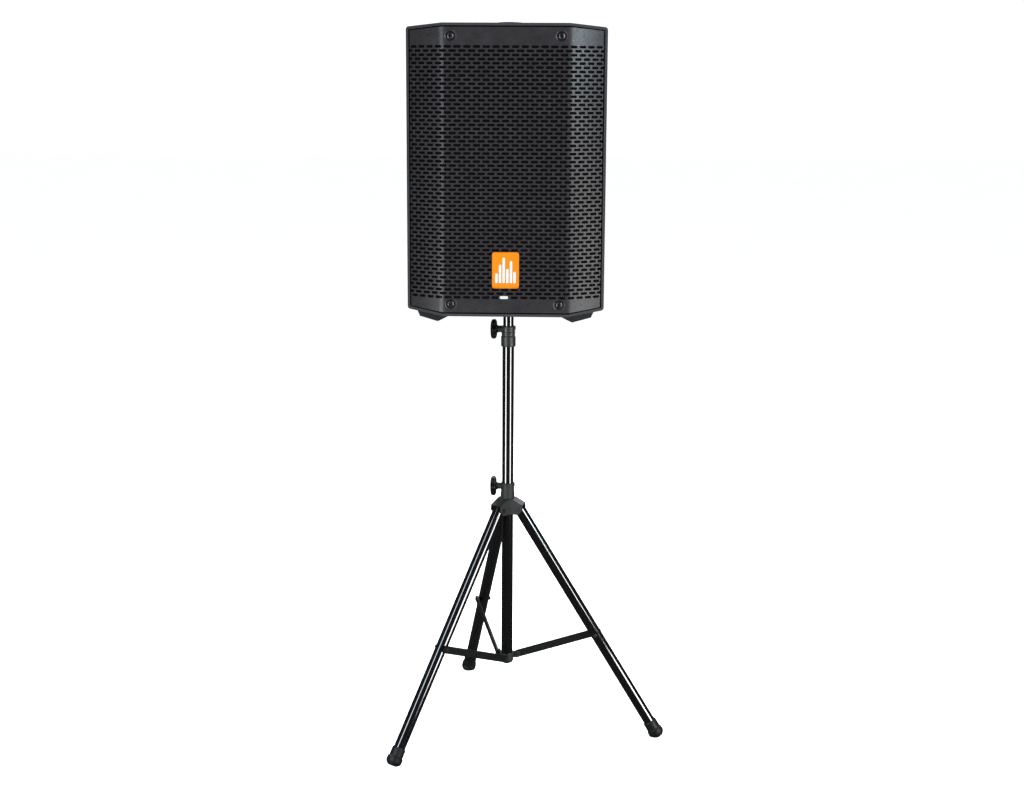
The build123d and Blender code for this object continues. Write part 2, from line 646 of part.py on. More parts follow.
with BuildPart() as driver_screws:
    for x, z in WOOFER_SCREWS + HORN_SCREWS:
        peg_y(x, z, 4.2, BAFFLE_Y - 7, BAFFLE_Y - 4)
save(driver_screws, "driver_screws")

# ---------------------------------------------------------------- amplifier

with BuildPart() as amp_panel:
    block_y(0, PANEL_Z, PANEL_WIDTH, PANEL_HEIGHT, BACK_Y, BACK_Y + PANEL, 5)
    for x, z in SOCKET_SPOTS:
        peg_y(x, z, 12.2, BACK_Y - 1, BACK_Y + 5, Mode.SUBTRACT)
    for x, z in KNOB_SPOTS:
        peg_y(x, z, 4.2, BACK_Y - 1, BACK_Y + 5, Mode.SUBTRACT)
    peg_y(*BUTTON_SPOT, 4.3, BACK_Y - 1, BACK_Y + 5, Mode.SUBTRACT)
    block_y(*INLET_SPOT, 27.4, 20.4, BACK_Y - 1, BACK_Y + 5, 0, Mode.SUBTRACT)
    block_y(*ROCKER_SPOT, 22.4, 27.4, BACK_Y - 1, BACK_Y + 5, 0, Mode.SUBTRACT)
    for x in (-92, 92):
        for z in (PANEL_Z - 152, PANEL_Z - 51, PANEL_Z + 51, PANEL_Z + 152):
            peg_y(x, z, 2.0, BACK_Y - 1, BACK_Y + 5, Mode.SUBTRACT)
save(amp_panel, "amp_panel")

with BuildPart() as amp_screws:
    for x in (-92, 92):
        for z in (PANEL_Z - 152, PANEL_Z - 51, PANEL_Z + 51, PANEL_Z + 152):
            peg_y(x, z, 3.8, BACK_Y + PANEL, BACK_Y + PANEL + 2.6)
            peg_y(x, z, 1.7, BACK_Y - 14, BACK_Y + PANEL)
save(amp_screws, "amp_screws")

with BuildPart() as heat_sink:
    block_y(0, PANEL_Z + 102, 164, 92, BACK_Y + PANEL, BACK_Y + PANEL + 4)
    for step in range(17):
        block_y(-80 + FIN_PITCH * step, PANEL_Z + 102, 2.4, 92, BACK_Y + PANEL + 4, BACK_Y + PANEL + 22)
save(heat_sink, "heat_sink")

with BuildPart() as amp_board:
    block_y(0, PANEL_Z - 30, 164, 190, BOARD_Y - 1.6, BOARD_Y)
    for x in (-78, 78):
        for z in (PANEL_Z - 119, PANEL_Z + 58):
            peg_y(x, z, 3, BOARD_Y, BACK_Y)
save(amp_board, "amp_board")

with BuildPart() as power_transformer:
    turn_y([(48, 12), (48, 44), (54, 48), (100, 48), (106, 44), (106, 12)], 0, PANEL_Z - 60)
save(power_transformer, "power_transformer")

with BuildPart() as potentiometers:
    for x, z in KNOB_SPOTS:
        peg_y(x, z, 8.5, BOARD_Y + 6, BACK_Y - 4)
        peg_y(x, z, 3, BACK_Y - 4, BACK_Y + PANEL + 11)
save(potentiometers, "potentiometers")

for number, (x, z) in enumerate(KNOB_SPOTS, 1):
    with BuildPart() as level_knob:
        face_y = BACK_Y + PANEL
        skirt = [(face_y + 1, 0), (face_y + 1, 11), (face_y + 4, 10.5)]
        cap = [(face_y + 5, 8.8), (face_y + 15, 8), (face_y + 16, 7), (face_y + 16, 0)]
        turn_y(skirt + cap, x, z)
        peg_y(x, z, 3 + RUNNING, BACK_Y, BACK_Y + PANEL + 12, Mode.SUBTRACT)
        block_y(x, z + 5, 1.2, 7, BACK_Y + PANEL + 15, BACK_Y + PANEL + 17, 0, Mode.SUBTRACT)
    save(level_knob, f"level_knob_{number}")

with BuildPart() as signal_sockets:
    for x, z in SOCKET_SPOTS:
        block_y(x, z, 26, 31, BACK_Y + PANEL, BACK_Y + PANEL + 2, 3)
        peg_y(x, z, 12, BACK_Y - 26, BACK_Y + PANEL)
        peg_y(x, z, 9.2, BACK_Y - 14, BACK_Y + PANEL + 3, Mode.SUBTRACT)
save(signal_sockets, "signal_sockets")

with BuildPart() as mains_module:
    middle_z = (INLET_SPOT[1] + ROCKER_SPOT[1]) / 2
    plate_height = ROCKER_SPOT[1] - INLET_SPOT[1] + 32
    block_y(INLET_SPOT[0], middle_z, 33, plate_height, BACK_Y + PANEL, BACK_Y + PANEL + 2.5, 3)
    block_y(*INLET_SPOT, 27, 20, BACK_Y - 22, BACK_Y + PANEL)
    block_y(*INLET_SPOT, 24, 16.5, BACK_Y - 12, BACK_Y + PANEL + 3, 3, Mode.SUBTRACT)
    for x in (-7, 0, 7):
        block_y(INLET_SPOT[0] + x, INLET_SPOT[1] + (2.5 if x == 0 else -2), 2, 4, BACK_Y - 13, BACK_Y - 1)
    block_y(*ROCKER_SPOT, 22, 27, BACK_Y - 16, BACK_Y + PANEL)
    block_y(*ROCKER_SPOT, 18, 23, BACK_Y - 12, BACK_Y + PANEL + 3, 0, Mode.SUBTRACT)
save(mains_module, "mains_module")

with BuildPart() as power_rocker:
    tilt = Plane(
        origin=(ROCKER_SPOT[0] - 8.5, BACK_Y + PANEL - 1, ROCKER_SPOT[1]),
        x_dir=(0, cos(radians(ROCKER_TILT)), sin(radians(ROCKER_TILT))),
        z_dir=(1, 0, 0),
    )
    with BuildSketch(tilt):
        with BuildLine():
            Polyline((4.2, -10.6), (-6, -6), (-6, 6), (4.2, 10.6))
            ThreePointArc((4.2, 10.6), (2.6, 0), (4.2, -10.6))
        make_face()
    extrude(amount=17)
save(power_rocker, "power_rocker")

with BuildPart() as lift_button:
    peg_y(*BUTTON_SPOT, 4, BACK_Y - 14, BACK_Y + PANEL + 5)
    chamfer(lift_button.faces().sort_by(Axis.Y)[-1].edges(), 0.6)
save(lift_button, "lift_button")

# ---------------------------------------------------------------- stand: column and mast

with BuildPart() as adapter_sleeve:
    bore = MAST_RADIUS + RUNNING
    foot = [(bore, 1053), (23, 1053), (23, 1058), (17.6, 1058), (17.6, 1144), (15.6, 1146)]
    turn_z(foot + [(0, 1146), (0, MAST_TOP_Z + 0.2), (bore, MAST_TOP_Z + 0.2)])
save(adapter_sleeve, "adapter_sleeve")

with BuildPart() as mast_tube:
    turn_z([
        (MAST_RADIUS - 1.5, MAST_BOTTOM_Z),
        (MAST_RADIUS, MAST_BOTTOM_Z),
        (MAST_RADIUS, MAST_TOP_Z),
        (MAST_RADIUS - 1.5, MAST_TOP_Z),
    ])
save(mast_tube, "mast_tube")

with BuildPart() as column_tube:
    turn_z([
        (MAST_RADIUS + 0.1, COLUMN_BOTTOM_Z),
        (COLUMN_RADIUS, COLUMN_BOTTOM_Z),
        (COLUMN_RADIUS, COLUMN_TOP_Z),
        (MAST_RADIUS + 0.1, COLUMN_TOP_Z),
    ])
save(column_tube, "column_tube")

with BuildPart() as upper_collar:
    sleeve = COLUMN_RADIUS + RUNNING
    throat = MAST_RADIUS + RUNNING
    turn_z([
        (sleeve, COLLAR_BOTTOM_Z),
        (16.8, COLLAR_BOTTOM_Z),
        (17.6, COLLAR_BOTTOM_Z + 2),
        (17.6, 984),
        (16, 986),
        (16, 991),
        (16.8, 992),
        (16.8, 995),
        (16, 996),
        (16, COLLAR_TOP_Z - 2),
        (15, COLLAR_TOP_Z),
        (throat, COLLAR_TOP_Z),
        (throat, COLUMN_TOP_Z + 0.3),
        (sleeve, COLUMN_TOP_Z + 0.3),
    ])
    collar_boss(UPPER_KNOB_Z, 14, 23.6)
    collar_lug(COLLAR_TOP_Z - 5)
    turn_z([(0, 980), (throat, 980), (throat, 1020), (0, 1020)], Mode.SUBTRACT)
    top = COLUMN_TOP_Z + 0.3
    turn_z([(0, 950), (sleeve, 950), (sleeve, top), (0, top)], Mode.SUBTRACT)
    collar_screw_hole(UPPER_KNOB_Z)
save(upper_collar, "upper_collar")

upper_knob = clamp_knob(UPPER_KNOB_Z, MAST_RADIUS + 0.4)
save(upper_knob, "upper_knob")

with BuildPart() as bottom_bracket:
    seat = COLUMN_RADIUS + 0.02
    rim_z = BRACKET_Z + 7
    turn_z([
        (0, BRACKET_BOTTOM_Z),
        (8, BRACKET_BOTTOM_Z + 0.8),
        (13, BRACKET_BOTTOM_Z + 3.5),
        (16, BRACKET_BOTTOM_Z + 8),
        (16.6, BRACKET_BOTTOM_Z + 12),
        (16.6, rim_z),
        (0, rim_z),
    ])
    for _, azimuth in LEGS:
        ear = [
            (0, rim_z),
            (0, BRACKET_Z - 9),
            (BRACKET_RADIUS, BRACKET_Z - 9),
            (BRACKET_RADIUS + 7.5, BRACKET_Z - 5),
            (BRACKET_RADIUS + 7.5, rim_z),
        ]
        prism(radial_plane(azimuth, BRACE_INNER - 0.3), ear, 5)
    lift = rim_z + 5
    turn_z([(0, COLUMN_BOTTOM_Z), (seat, COLUMN_BOTTOM_Z), (seat, lift), (0, lift)], Mode.SUBTRACT)
    for _, azimuth in LEGS:
        cross_pin(azimuth, BRACKET_RADIUS, BRACKET_Z, 3.1, 5, 20, Mode.SUBTRACT)
save(bottom_bracket, "bottom_bracket")

with BuildPart() as bracket_bolts:
    for _, azimuth in LEGS:
        outer = BRACE_INNER + BRACE_THICKNESS + 0.3
        cross_pin(azimuth, BRACKET_RADIUS, BRACKET_Z, 3, BRACE_INNER - 5.3, outer)
        cross_pin(azimuth, BRACKET_RADIUS, BRACKET_Z, 5, outer, outer + 2.5)
save(bracket_bolts, "bracket_bolts")

# ---------------------------------------------------------------- stand: crown

with BuildPart() as crown:
    arm = [(0, CROWN_BOTTOM_Z), (31, CROWN_BOTTOM_Z), (42, 557), (41, 569), (18, ARM_TOP_Z), (0, ARM_TOP_Z)]
    for _, azimuth in LEGS:
        prism(radial_plane(azimuth, CHEEK), arm, 2 * CHEEK)
    turn_z([
        (0, CROWN_BOTTOM_Z),
        (COLLAR_SPAN, CROWN_BOTTOM_Z),
        (COLLAR_SPAN, 596),
        (COLLAR_SPAN - 0.8, 598),
        (COLLAR_SPAN - 0.8, CROWN_TOP_Z - 1.5),
        (COLLAR_SPAN - 2, CROWN_TOP_Z),
        (0, CROWN_TOP_Z),
    ])
    collar_boss(LOWER_KNOB_Z, 10, 23.6)
    collar_lug(CROWN_TOP_Z - 5)
    slot = [(15.2, 500), (15.2, 569), (20, 573), (32, 573), (60, 558), (60, 500)]
    for _, azimuth in LEGS:
        prism(radial_plane(azimuth, SLOT), slot, 2 * SLOT, Mode.SUBTRACT)
    bore = COLUMN_RADIUS + RUNNING
    turn_z([(0, 500), (bore, 500), (bore, 640), (0, 640)], Mode.SUBTRACT)
    for _, azimuth in LEGS:
        cross_pin(azimuth, PIVOT_RADIUS, PIVOT_Z, 3.1, -CHEEK - 1, CHEEK + 1, Mode.SUBTRACT)
    collar_screw_hole(LOWER_KNOB_Z)
save(crown, "crown")

lower_knob = clamp_knob(LOWER_KNOB_Z, COLUMN_RADIUS + 0.4)
save(lower_knob, "lower_knob")

with BuildPart() as crown_bolts:
    for _, azimuth in LEGS:
        cross_pin(azimuth, PIVOT_RADIUS, PIVOT_Z, 3, -CHEEK, CHEEK)
        cross_pin(azimuth, PIVOT_RADIUS, PIVOT_Z, 4.6, CHEEK, CHEEK + 2.2)
        cross_pin(azimuth, PIVOT_RADIUS, PIVOT_Z, 4.6, -CHEEK - 2.2, -CHEEK)
save(crown_bolts, "crown_bolts")

# ---------------------------------------------------------------- stand: legs and braces

for number, azimuth in LEGS:
    with BuildPart() as leg_tube:
        with BuildSketch(leg_plane(azimuth, -LEG_RADIUS)) as section:
            Circle(LEG_RADIUS)
            Circle(LEG_RADIUS - 1.5, mode=Mode.SUBTRACT)
        extrude(section.sketch, amount=LEG_LENGTH - LEG_END + LEG_RADIUS)
        # the upper end is rounded about its pivot, so that it turns inside the crown
        with BuildSketch(radial_plane(azimuth, 20)) as rounding:
            middle = ((PIVOT_RADIUS + FOOT_REACH) / 2, PIVOT_Z / 2, 0)
            with Locations(Location(middle, (0, 0, degrees(LEG_LEAN) - 90))):
                SlotCenterToCenter(LEG_LENGTH, 2 * LEG_RADIUS + 0.4)
        extrude(rounding.sketch, amount=40, mode=Mode.INTERSECT)
        cross_pin(azimuth, PIVOT_RADIUS, PIVOT_Z, 3 + RUNNING, -20, 20, Mode.SUBTRACT)
        cross_pin(azimuth, KNEE_RADIUS, KNEE_Z, 3 + RUNNING, -20, 20, Mode.SUBTRACT)
    save(leg_tube, f"leg_tube_{number}")

    with BuildPart() as knee_pin:
        cross_pin(azimuth, KNEE_RADIUS, KNEE_Z, 3, -LEG_RADIUS - 1.2, LEG_RADIUS + 1)
        cross_pin(azimuth, KNEE_RADIUS, KNEE_Z, 4.8, -LEG_RADIUS - 4, -LEG_RADIUS - 0.6)
        cross_pin(azimuth, KNEE_RADIUS, KNEE_Z, 5.5, LEG_RADIUS + 0.4, BRACE_INNER - 0.3)
    save(knee_pin, f"knee_pin_{number}")

    with BuildPart() as foot_tip:
        turn_leg(azimuth, [
            (0, LEG_LENGTH - 44),
            (16, LEG_LENGTH - 44),
            (16.6, LEG_LENGTH - 42),
            (16.6, LEG_LENGTH - 23),
            (19, LEG_LENGTH - 20),
            (19, LEG_LENGTH - 10),
            (16, LEG_LENGTH - 4),
            (11, LEG_LENGTH),
            (0, LEG_LENGTH),
        ])
        socket = LEG_RADIUS + 0.02
        far = LEG_LENGTH - LEG_END
        turn_leg(azimuth, [(0, far - 60), (socket, far - 60), (socket, far), (0, far)], Mode.SUBTRACT)
        with BuildSketch(Plane.XY) as ground:
            with Locations(radial_point(azimuth, FOOT_REACH, 0, 0)[:2]):
                Circle(60)
        extrude(ground.sketch, amount=-60, mode=Mode.SUBTRACT)
    save(foot_tip, f"foot_tip_{number}")

    with BuildPart() as brace_bar:
        with BuildSketch(radial_plane(azimuth, BRACE_INNER + BRACE_THICKNESS)) as bar:
            middle = ((BRACKET_RADIUS + KNEE_RADIUS) / 2, (BRACKET_Z + KNEE_Z) / 2, 0)
            with Locations(Location(middle, (0, 0, degrees(BRACE_RISE)))):
                SlotCenterToCenter(BRACE_LENGTH, BRACE_WIDTH)
            with Locations((BRACKET_RADIUS, BRACKET_Z), (KNEE_RADIUS, KNEE_Z)):
                Circle(3 + RUNNING, mode=Mode.SUBTRACT)
        extrude(bar.sketch, amount=BRACE_THICKNESS)
    save(brace_bar, f"brace_bar_{number}")

    with BuildPart() as brace_bolt:
        outer = BRACE_INNER + BRACE_THICKNESS
        cross_pin(azimuth, KNEE_RADIUS, KNEE_Z, 3, BRACE_INNER + 0.1, outer)
        cross_pin(azimuth, KNEE_RADIUS, KNEE_Z, 5, outer, outer + 2.5)
    save(brace_bolt, f"brace_bolt_{number}")

# ---- how far the stand folds, worked out from the closed linkage ----
folded_knee = PIVOT_RADIUS + BRACE_DROP * sin(FOLDED_LEAN)
folded_rise = acos((folded_knee - BRACKET_RADIUS) / BRACE_LENGTH)
folded_pivot = BRACKET_Z + BRACE_LENGTH * sin(folded_rise) + BRACE_DROP * cos(FOLDED_LEAN)
print("crown travel", round(folded_pivot - PIVOT_Z, 3))
print("leg swing", round(degrees(LEG_LEAN - FOLDED_LEAN), 4), "degrees")
print("brace swing", round(degrees(folded_rise - BRACE_RISE), 4), "degrees")
print("knee", round(KNEE_RADIUS, 3), round(KNEE_Z, 3), "leg length", round(LEG_LENGTH, 3))
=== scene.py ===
from math import atan, cos, hypot, pi, radians, sin, tan

import bmesh
import bpy
import numpy as np
from mathutils import Matrix, Vector, noise
from mathutils.geometry import delaunay_2d_cdt


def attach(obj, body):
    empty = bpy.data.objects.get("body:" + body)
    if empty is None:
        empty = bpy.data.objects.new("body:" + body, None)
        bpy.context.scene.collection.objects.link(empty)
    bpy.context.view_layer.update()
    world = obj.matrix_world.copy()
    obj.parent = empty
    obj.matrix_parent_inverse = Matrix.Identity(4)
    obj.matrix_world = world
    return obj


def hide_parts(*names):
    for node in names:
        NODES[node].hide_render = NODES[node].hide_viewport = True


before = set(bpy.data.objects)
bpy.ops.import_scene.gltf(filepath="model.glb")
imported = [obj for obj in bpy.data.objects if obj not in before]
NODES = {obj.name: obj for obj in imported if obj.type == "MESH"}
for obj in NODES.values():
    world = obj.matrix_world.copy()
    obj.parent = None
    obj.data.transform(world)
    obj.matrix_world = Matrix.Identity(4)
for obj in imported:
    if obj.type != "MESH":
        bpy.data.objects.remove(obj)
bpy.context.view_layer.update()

scene = bpy.context.scene
MM = 0.001
EDGE_SOFTNESS = 0.8 * MM

# ---------------------------------------------------------------- materials


class Tree:
    """A material's node tree, with short ways to add the nodes used here."""

    def __init__(self, name):
        self.material = bpy.data.materials.new(name)
        self.material.use_nodes = True
        self.tree = self.material.node_tree
        self.shader = self.tree.nodes["Principled BSDF"]
        place = self.tree.nodes.new("ShaderNodeTexCoord")
        self.place = place.outputs["Object"]

    def link(self, source, target):
        self.tree.links.new(source, target)

    def set(self, **values):
        for name, value in values.items():
            self.shader.inputs[name.replace("_", " ")].default_value = value

    def noise(self, scale, detail=3.0, rough=0.55, stretch=None):
        node = self.tree.nodes.new("ShaderNodeTexNoise")
        node.inputs["Scale"].default_value = scale
        node.inputs["Detail"].default_value = detail
        node.inputs["Roughness"].default_value = rough
        self.link(self.stretched(stretch), node.inputs["Vector"])
        return node.outputs["Fac"]

    def cells(self, scale, feature="F1"):
        node = self.tree.nodes.new("ShaderNodeTexVoronoi")
        node.feature = feature
        node.inputs["Scale"].default_value = scale
        self.link(self.place, node.inputs["Vector"])
        return node.outputs["Distance"]

    def stretched(self, stretch):
        """The object's own coordinates, scaled along each axis if asked."""
        if stretch is None:
            return self.place
        node = self.tree.nodes.new("ShaderNodeMapping")
        node.inputs["Scale"].default_value = stretch
        self.link(self.place, node.inputs["Vector"])
        return node.outputs["Vector"]

    def ramp(self, source, stops):
        """Colours between (position, colour) stops."""
        node = self.tree.nodes.new("ShaderNodeValToRGB")
        node.color_ramp.elements[0].position = stops[0][0]
        node.color_ramp.elements[1].position = stops[-1][0]
        for position, _ in stops[1:-1]:
            node.color_ramp.elements.new(position)
        for element, (_, colour) in zip(node.color_ramp.elements, stops):
            element.color = (*colour, 1)
        self.link(source, node.inputs["Fac"])
        return node.outputs["Color"]

    def range(self, source, low, high, start=0.3, end=0.7):
        """low to high as the source goes from start to end."""
        node = self.tree.nodes.new("ShaderNodeMapRange")
        node.inputs["From Min"].default_value = start
        node.inputs["From Max"].default_value = end
        node.inputs["To Min"].default_value = low
        node.inputs["To Max"].default_value = high
        self.link(source, node.inputs["Value"])
        return node.outputs["Result"]

    def larger(self, first, second):
        node = self.tree.nodes.new("ShaderNodeMath")
        node.operation = "MAXIMUM"
        self.link(first, node.inputs[0])
        self.link(second, node.inputs[1])
        return node.outputs["Value"]

    def bump(self, source, depth, strength=1.0, after=None, round_edges=0.0):
        """A bump on top of another one, or on softened edges, or on the plain surface."""
        node = self.tree.nodes.new("ShaderNodeBump")
        node.inputs["Strength"].default_value = strength
        node.inputs["Distance"].default_value = depth
        self.link(source, node.inputs["Height"])
        if after is not None:
            self.link(after, node.inputs["Normal"])
        elif round_edges:
            bevel = self.tree.nodes.new("ShaderNodeBevel")
            bevel.samples = 4
            bevel.inputs["Radius"].default_value = round_edges
            self.link(bevel.outputs["Normal"], node.inputs["Normal"])
        return node.outputs["Normal"]

    def finish(self, colour=None, rough=None, normal=None):
        for source, name in ((colour, "Base Color"), (rough, "Roughness"), (normal, "Normal")):
            if source is not None:
                self.link(source, self.shader.inputs[name])
        return self.material


def shade(colour, amount):
    """A colour made lighter or darker."""
    return tuple(c * amount for c in colour)


def moulded(name, colour, rough=0.5, grain=1400.0, depth=0.00006, spread=0.25, shine_level=0.3):
    """Moulded plastic: fine spark-eroded texture, faint flow marks and a little uneven shine."""
    t = Tree(name)
    t.set(Specular_IOR_Level=shine_level)
    mottle = t.noise(18.0, 4.0)
    tone = t.ramp(mottle, [(0.3, shade(colour, 1 - spread)), (0.7, shade(colour, 1 + spread))])
    shine = t.range(t.noise(55.0, 3.0), rough - 0.06, rough + 0.08)
    coarse = t.bump(t.noise(grain * 0.28, 2.0), depth * 1.2, round_edges=EDGE_SOFTNESS)
    fine = t.bump(t.cells(grain), depth, 0.8, coarse)
    return t.finish(tone, shine, fine)


def enamel(name, colour, rough, coat=1.0, coat_rough=0.07, shine_level=0.08):
    """Sprayed enamel: gloss with faint orange peel, dust specks and hairline marks."""
    t = Tree(name)
    t.set(Coat_Weight=coat, Coat_Roughness=coat_rough, Coat_IOR=1.72, Specular_IOR_Level=shine_level)
    specks = t.range(t.cells(260.0), 1.0, 0.0, 0.0, 0.16)
    tone = t.ramp(specks, [(0.0, colour), (1.0, shade(colour, 1.8))])
    hair = t.noise(90.0, 5.0, 0.7, (1, 1, 0.05))
    shine = t.range(hair, rough - 0.05, rough + 0.12)
    return t.finish(tone, shine, t.bump(t.noise(240.0, 2.0), 0.00003))


def powder(name, colour, rough=0.42, metallic=0.0, depth=0.00005, spread=0.18, shine_level=0.3):
    """Powder coat: a pebbled skin with low, even shine."""
    t = Tree(name)
    t.set(Metallic=metallic, Specular_IOR_Level=shine_level)
    tone = t.ramp(t.noise(30.0, 4.0), [(0.3, shade(colour, 1 - spread)), (0.7, shade(colour, 1 + spread))])
    shine = t.range(t.noise(160.0, 3.0), rough - 0.05, rough + 0.07)
    return t.finish(tone, shine, t.bump(t.cells(1100.0, "SMOOTH_F1"), depth))


def metal(name, colour, rough=0.3, stretch=(1, 1, 0.04), scale=900.0):
    """Bare or plated metal with fine brush or turning marks and dull patches."""
    t = Tree(name)
    t.set(Metallic=1.0)
    marks = t.noise(scale, 4.0, 0.6, stretch)
    tone = t.ramp(t.noise(45.0, 3.0), [(0.3, shade(colour, 0.75)), (0.7, shade(colour, 1.1))])
    return t.finish(tone, t.range(marks, rough - 0.08, rough + 0.12), t.bump(marks, 0.00002))


def rubber(name, colour, rough=0.65):
    """Moulded rubber: matt, dusty in patches, with a soft fine grain."""
    t = Tree(name)
    t.set(Sheen_Weight=0.03, Sheen_Roughness=0.4, Specular_IOR_Level=0.2)
    dust = t.noise(80.0, 6.0, 0.65)
    tone = t.ramp(dust, [(0.35, colour), (0.8, shade(colour, 2.6))])
    return t.finish(tone, t.range(dust, rough - 0.1, rough + 0.12), t.bump(t.noise(1500.0, 2.0), 0.00005))


def foam_look(name, colour):
    """Open-cell foam: fine struts round pores, with painted light on the struts and painted shade in the
    pores.
    """
    t = Tree(name)
    t.set(Specular_IOR_Level=0.05)
    pores = t.cells(1300.0, "DISTANCE_TO_EDGE")
    # Lighter along the cell edges and much darker in the cells' middles: painted light on the struts and
    # painted shade in the pores; the bump gives them their real relief.
    tone = t.ramp(pores, [(0.0, shade(colour, 2.2)), (0.12, colour), (0.4, shade(colour, 0.3))])
    return t.finish(tone, t.range(t.noise(200.0), 0.85, 1.0), t.bump(pores, 0.0004))


def weave(name, colour, scale=900.0, rough=0.8):
    """Woven cloth: two crossed sets of threads, with slubs."""
    t = Tree(name)
    t.set(Sheen_Weight=0.25, Sheen_Roughness=0.5)
    waves = []
    for direction in ("X", "Z"):
        node = t.tree.nodes.new("ShaderNodeTexWave")
        node.bands_direction = direction
        node.inputs["Scale"].default_value = scale
        node.inputs["Distortion"].default_value = 1.2
        t.link(t.place, node.inputs["Vector"])
        waves.append(node.outputs["Fac"])
    threads = t.larger(*waves)
    tone = t.ramp(threads, [(0.1, shade(colour, 0.45)), (0.9, shade(colour, 1.15))])
    return t.finish(tone, t.range(t.noise(120.0), rough - 0.08, rough + 0.1), t.bump(threads, 0.0002))


def glow(name, colour, strength):
    """A lit light pipe: a nearly even glow over a dark, faintly uneven body."""
    t = Tree(name)
    t.set(Emission_Strength=strength, Roughness=0.3)
    patches = t.noise(300.0, 2.0)
    light = t.ramp(patches, [(0.3, shade(colour, 0.9)), (0.7, colour)])
    t.link(light, t.shader.inputs["Emission Color"])
    return t.finish(t.ramp(patches, [(0.3, shade(colour, 0.012)), (0.7, shade(colour, 0.02))]))


looks = {
    "shell": moulded("shell_plastic", (0.0225, 0.0222, 0.0236), 0.5, spread=0.08, shine_level=0.0),
    "grip": moulded("grip_plastic", (0.014, 0.014, 0.015), 0.55, 900.0, 0.00012),
    "grille": powder("grille_powder", (0.0132, 0.0117, 0.0127), 0.3, shine_level=0.16),
    "foam": foam_look("grille_foam", (0.0009, 0.0005, 0.0006)),
    "screw": powder("screw_black_oxide", (0.006, 0.006, 0.007), 0.26, shine_level=0.5),
    "led": glow("led_light", (0.95, 0.97, 1.0), 0.95),
    "socket": moulded("socket_plastic", (0.010, 0.010, 0.011), 0.5),
    "brass": metal("insert_brass", (0.62, 0.45, 0.2), 0.28),
    "cone": weave("cone_paper", (0.016, 0.016, 0.017), 500.0, 0.75),
    "surround": rubber("surround_rubber", (0.010, 0.010, 0.010), 0.55),
    "spider": weave("spider_cloth", (0.36, 0.23, 0.09), 700.0),
    "basket": powder("basket_steel", (0.014, 0.014, 0.014), 0.4),
    "ferrite": powder("ferrite", (0.035, 0.035, 0.04), 0.55, 0.3, 0.00009),
    "plated": metal("plated_steel", (0.55, 0.55, 0.52), 0.3),
    "copper": metal("voice_coil", (0.8, 0.4, 0.2), 0.3, (0.05, 1, 0.05), 1500.0),
    "horn": moulded("horn_plastic", (0.010, 0.010, 0.011), 0.35),
    "panel": powder("panel_powder", (0.011, 0.011, 0.012), 0.45),
    "anodised": metal("heat_sink_anodised", (0.05, 0.05, 0.055), 0.38, (0.04, 1, 1)),
    "board": powder("circuit_board", (0.008, 0.09, 0.034), 0.35, 0.0, 0.00003, 0.4),
    "winding": weave("transformer_tape", (0.32, 0.2, 0.03), 240.0, 0.45),
    "connector": moulded("connector_plastic", (0.008, 0.008, 0.009), 0.3),
    "knob": moulded("knob_plastic", (0.010, 0.010, 0.011), 0.5),
    "rocker": moulded("rocker_plastic", (0.009, 0.009, 0.010), 0.22, 1400.0, 0.00002),
    "sleeve": moulded("sleeve_nylon", (0.012, 0.012, 0.013), 0.42),
    "tube": enamel("tube_enamel", (0.0012, 0.0012, 0.0013), 0.2, shine_level=0.02),
    "stand": moulded("stand_nylon", (0.0105, 0.0115, 0.0113), 0.4, 1100.0, 0.0001),
    "crown": moulded("crown_nylon", (0.0132, 0.0143, 0.0134), 0.44, 1100.0, 0.0001, shine_level=0.13),
    "foot": moulded("cabinet_foot_plastic", (0.0085, 0.0085, 0.0092), 0.6, 1100.0, 0.0001, shine_level=0.02),
    "clamp": moulded("clamp_knob_plastic", (0.0022, 0.0022, 0.0024), 0.32, shine_level=0.12),
    "brace": enamel("brace_enamel", (0.0034, 0.0036, 0.0036), 0.35, 0.12, 0.25, shine_level=0.1),
    "bolt": powder("bolt_black_oxide", (0.020, 0.020, 0.021), 0.22, 0.6, shine_level=0.5),
    "rubber": rubber("foot_rubber", (0.0009, 0.0010, 0.0010), 0.5),
    "pot": metal("pot_metal", (0.55, 0.55, 0.55), 0.3),
    "orange": moulded("badge_orange", (0.36, 0.101, 0.0015), 0.4, 1400.0, 0.00002, 0.03, shine_level=0.1),
    "white": moulded("badge_white", (0.36, 0.35, 0.33), 0.4, 1400.0, 0.00002, 0.02),
    "marks": moulded("panel_print", (0.24, 0.24, 0.24), 0.5, 1400.0, 0.00002, 0.05),
}

node_looks = {
    "front_shell": "shell", "rear_shell": "shell", "cabinet_feet": "foot", "front_baffle": "horn",
    "top_handle_grip": "grip", "grille": "grille", "grille_foam": "foam", "grille_screws": "screw",
    "driver_screws": "screw", "amp_screws": "screw", "badge": "orange", "led_lens": "led",
    "pole_socket": "socket", "rigging_inserts": "brass", "woofer_cone": "cone", "dust_cap": "cone",
    "woofer_surround": "surround", "woofer_spider": "spider", "woofer_basket": "basket",
    "woofer_magnet": "ferrite", "compression_driver": "ferrite", "woofer_yoke": "plated",
    "voice_coil": "copper", "horn_waveguide": "horn", "amp_panel": "panel", "heat_sink": "anodised",
    "amp_board": "board", "power_transformer": "winding", "potentiometers": "pot",
    "signal_sockets": "connector", "mains_module": "connector", "level_knob_1": "knob",
    "level_knob_2": "knob", "lift_button": "knob", "power_rocker": "rocker", "adapter_sleeve": "sleeve",
    "mast_tube": "tube", "column_tube": "tube", "upper_collar": "stand", "crown": "crown",
    "bottom_bracket": "stand", "upper_knob": "clamp", "lower_knob": "clamp", "bracket_bolts": "bolt",
    "crown_bolts": "bolt",
}
for number in (1, 2, 3):
    node_looks[f"leg_tube_{number}"] = "tube"
    node_looks[f"knee_pin_{number}"] = "bolt"
    node_looks[f"brace_bolt_{number}"] = "bolt"
    node_looks[f"brace_bar_{number}"] = "brace"
    node_looks[f"foot_tip_{number}"] = "rubber"


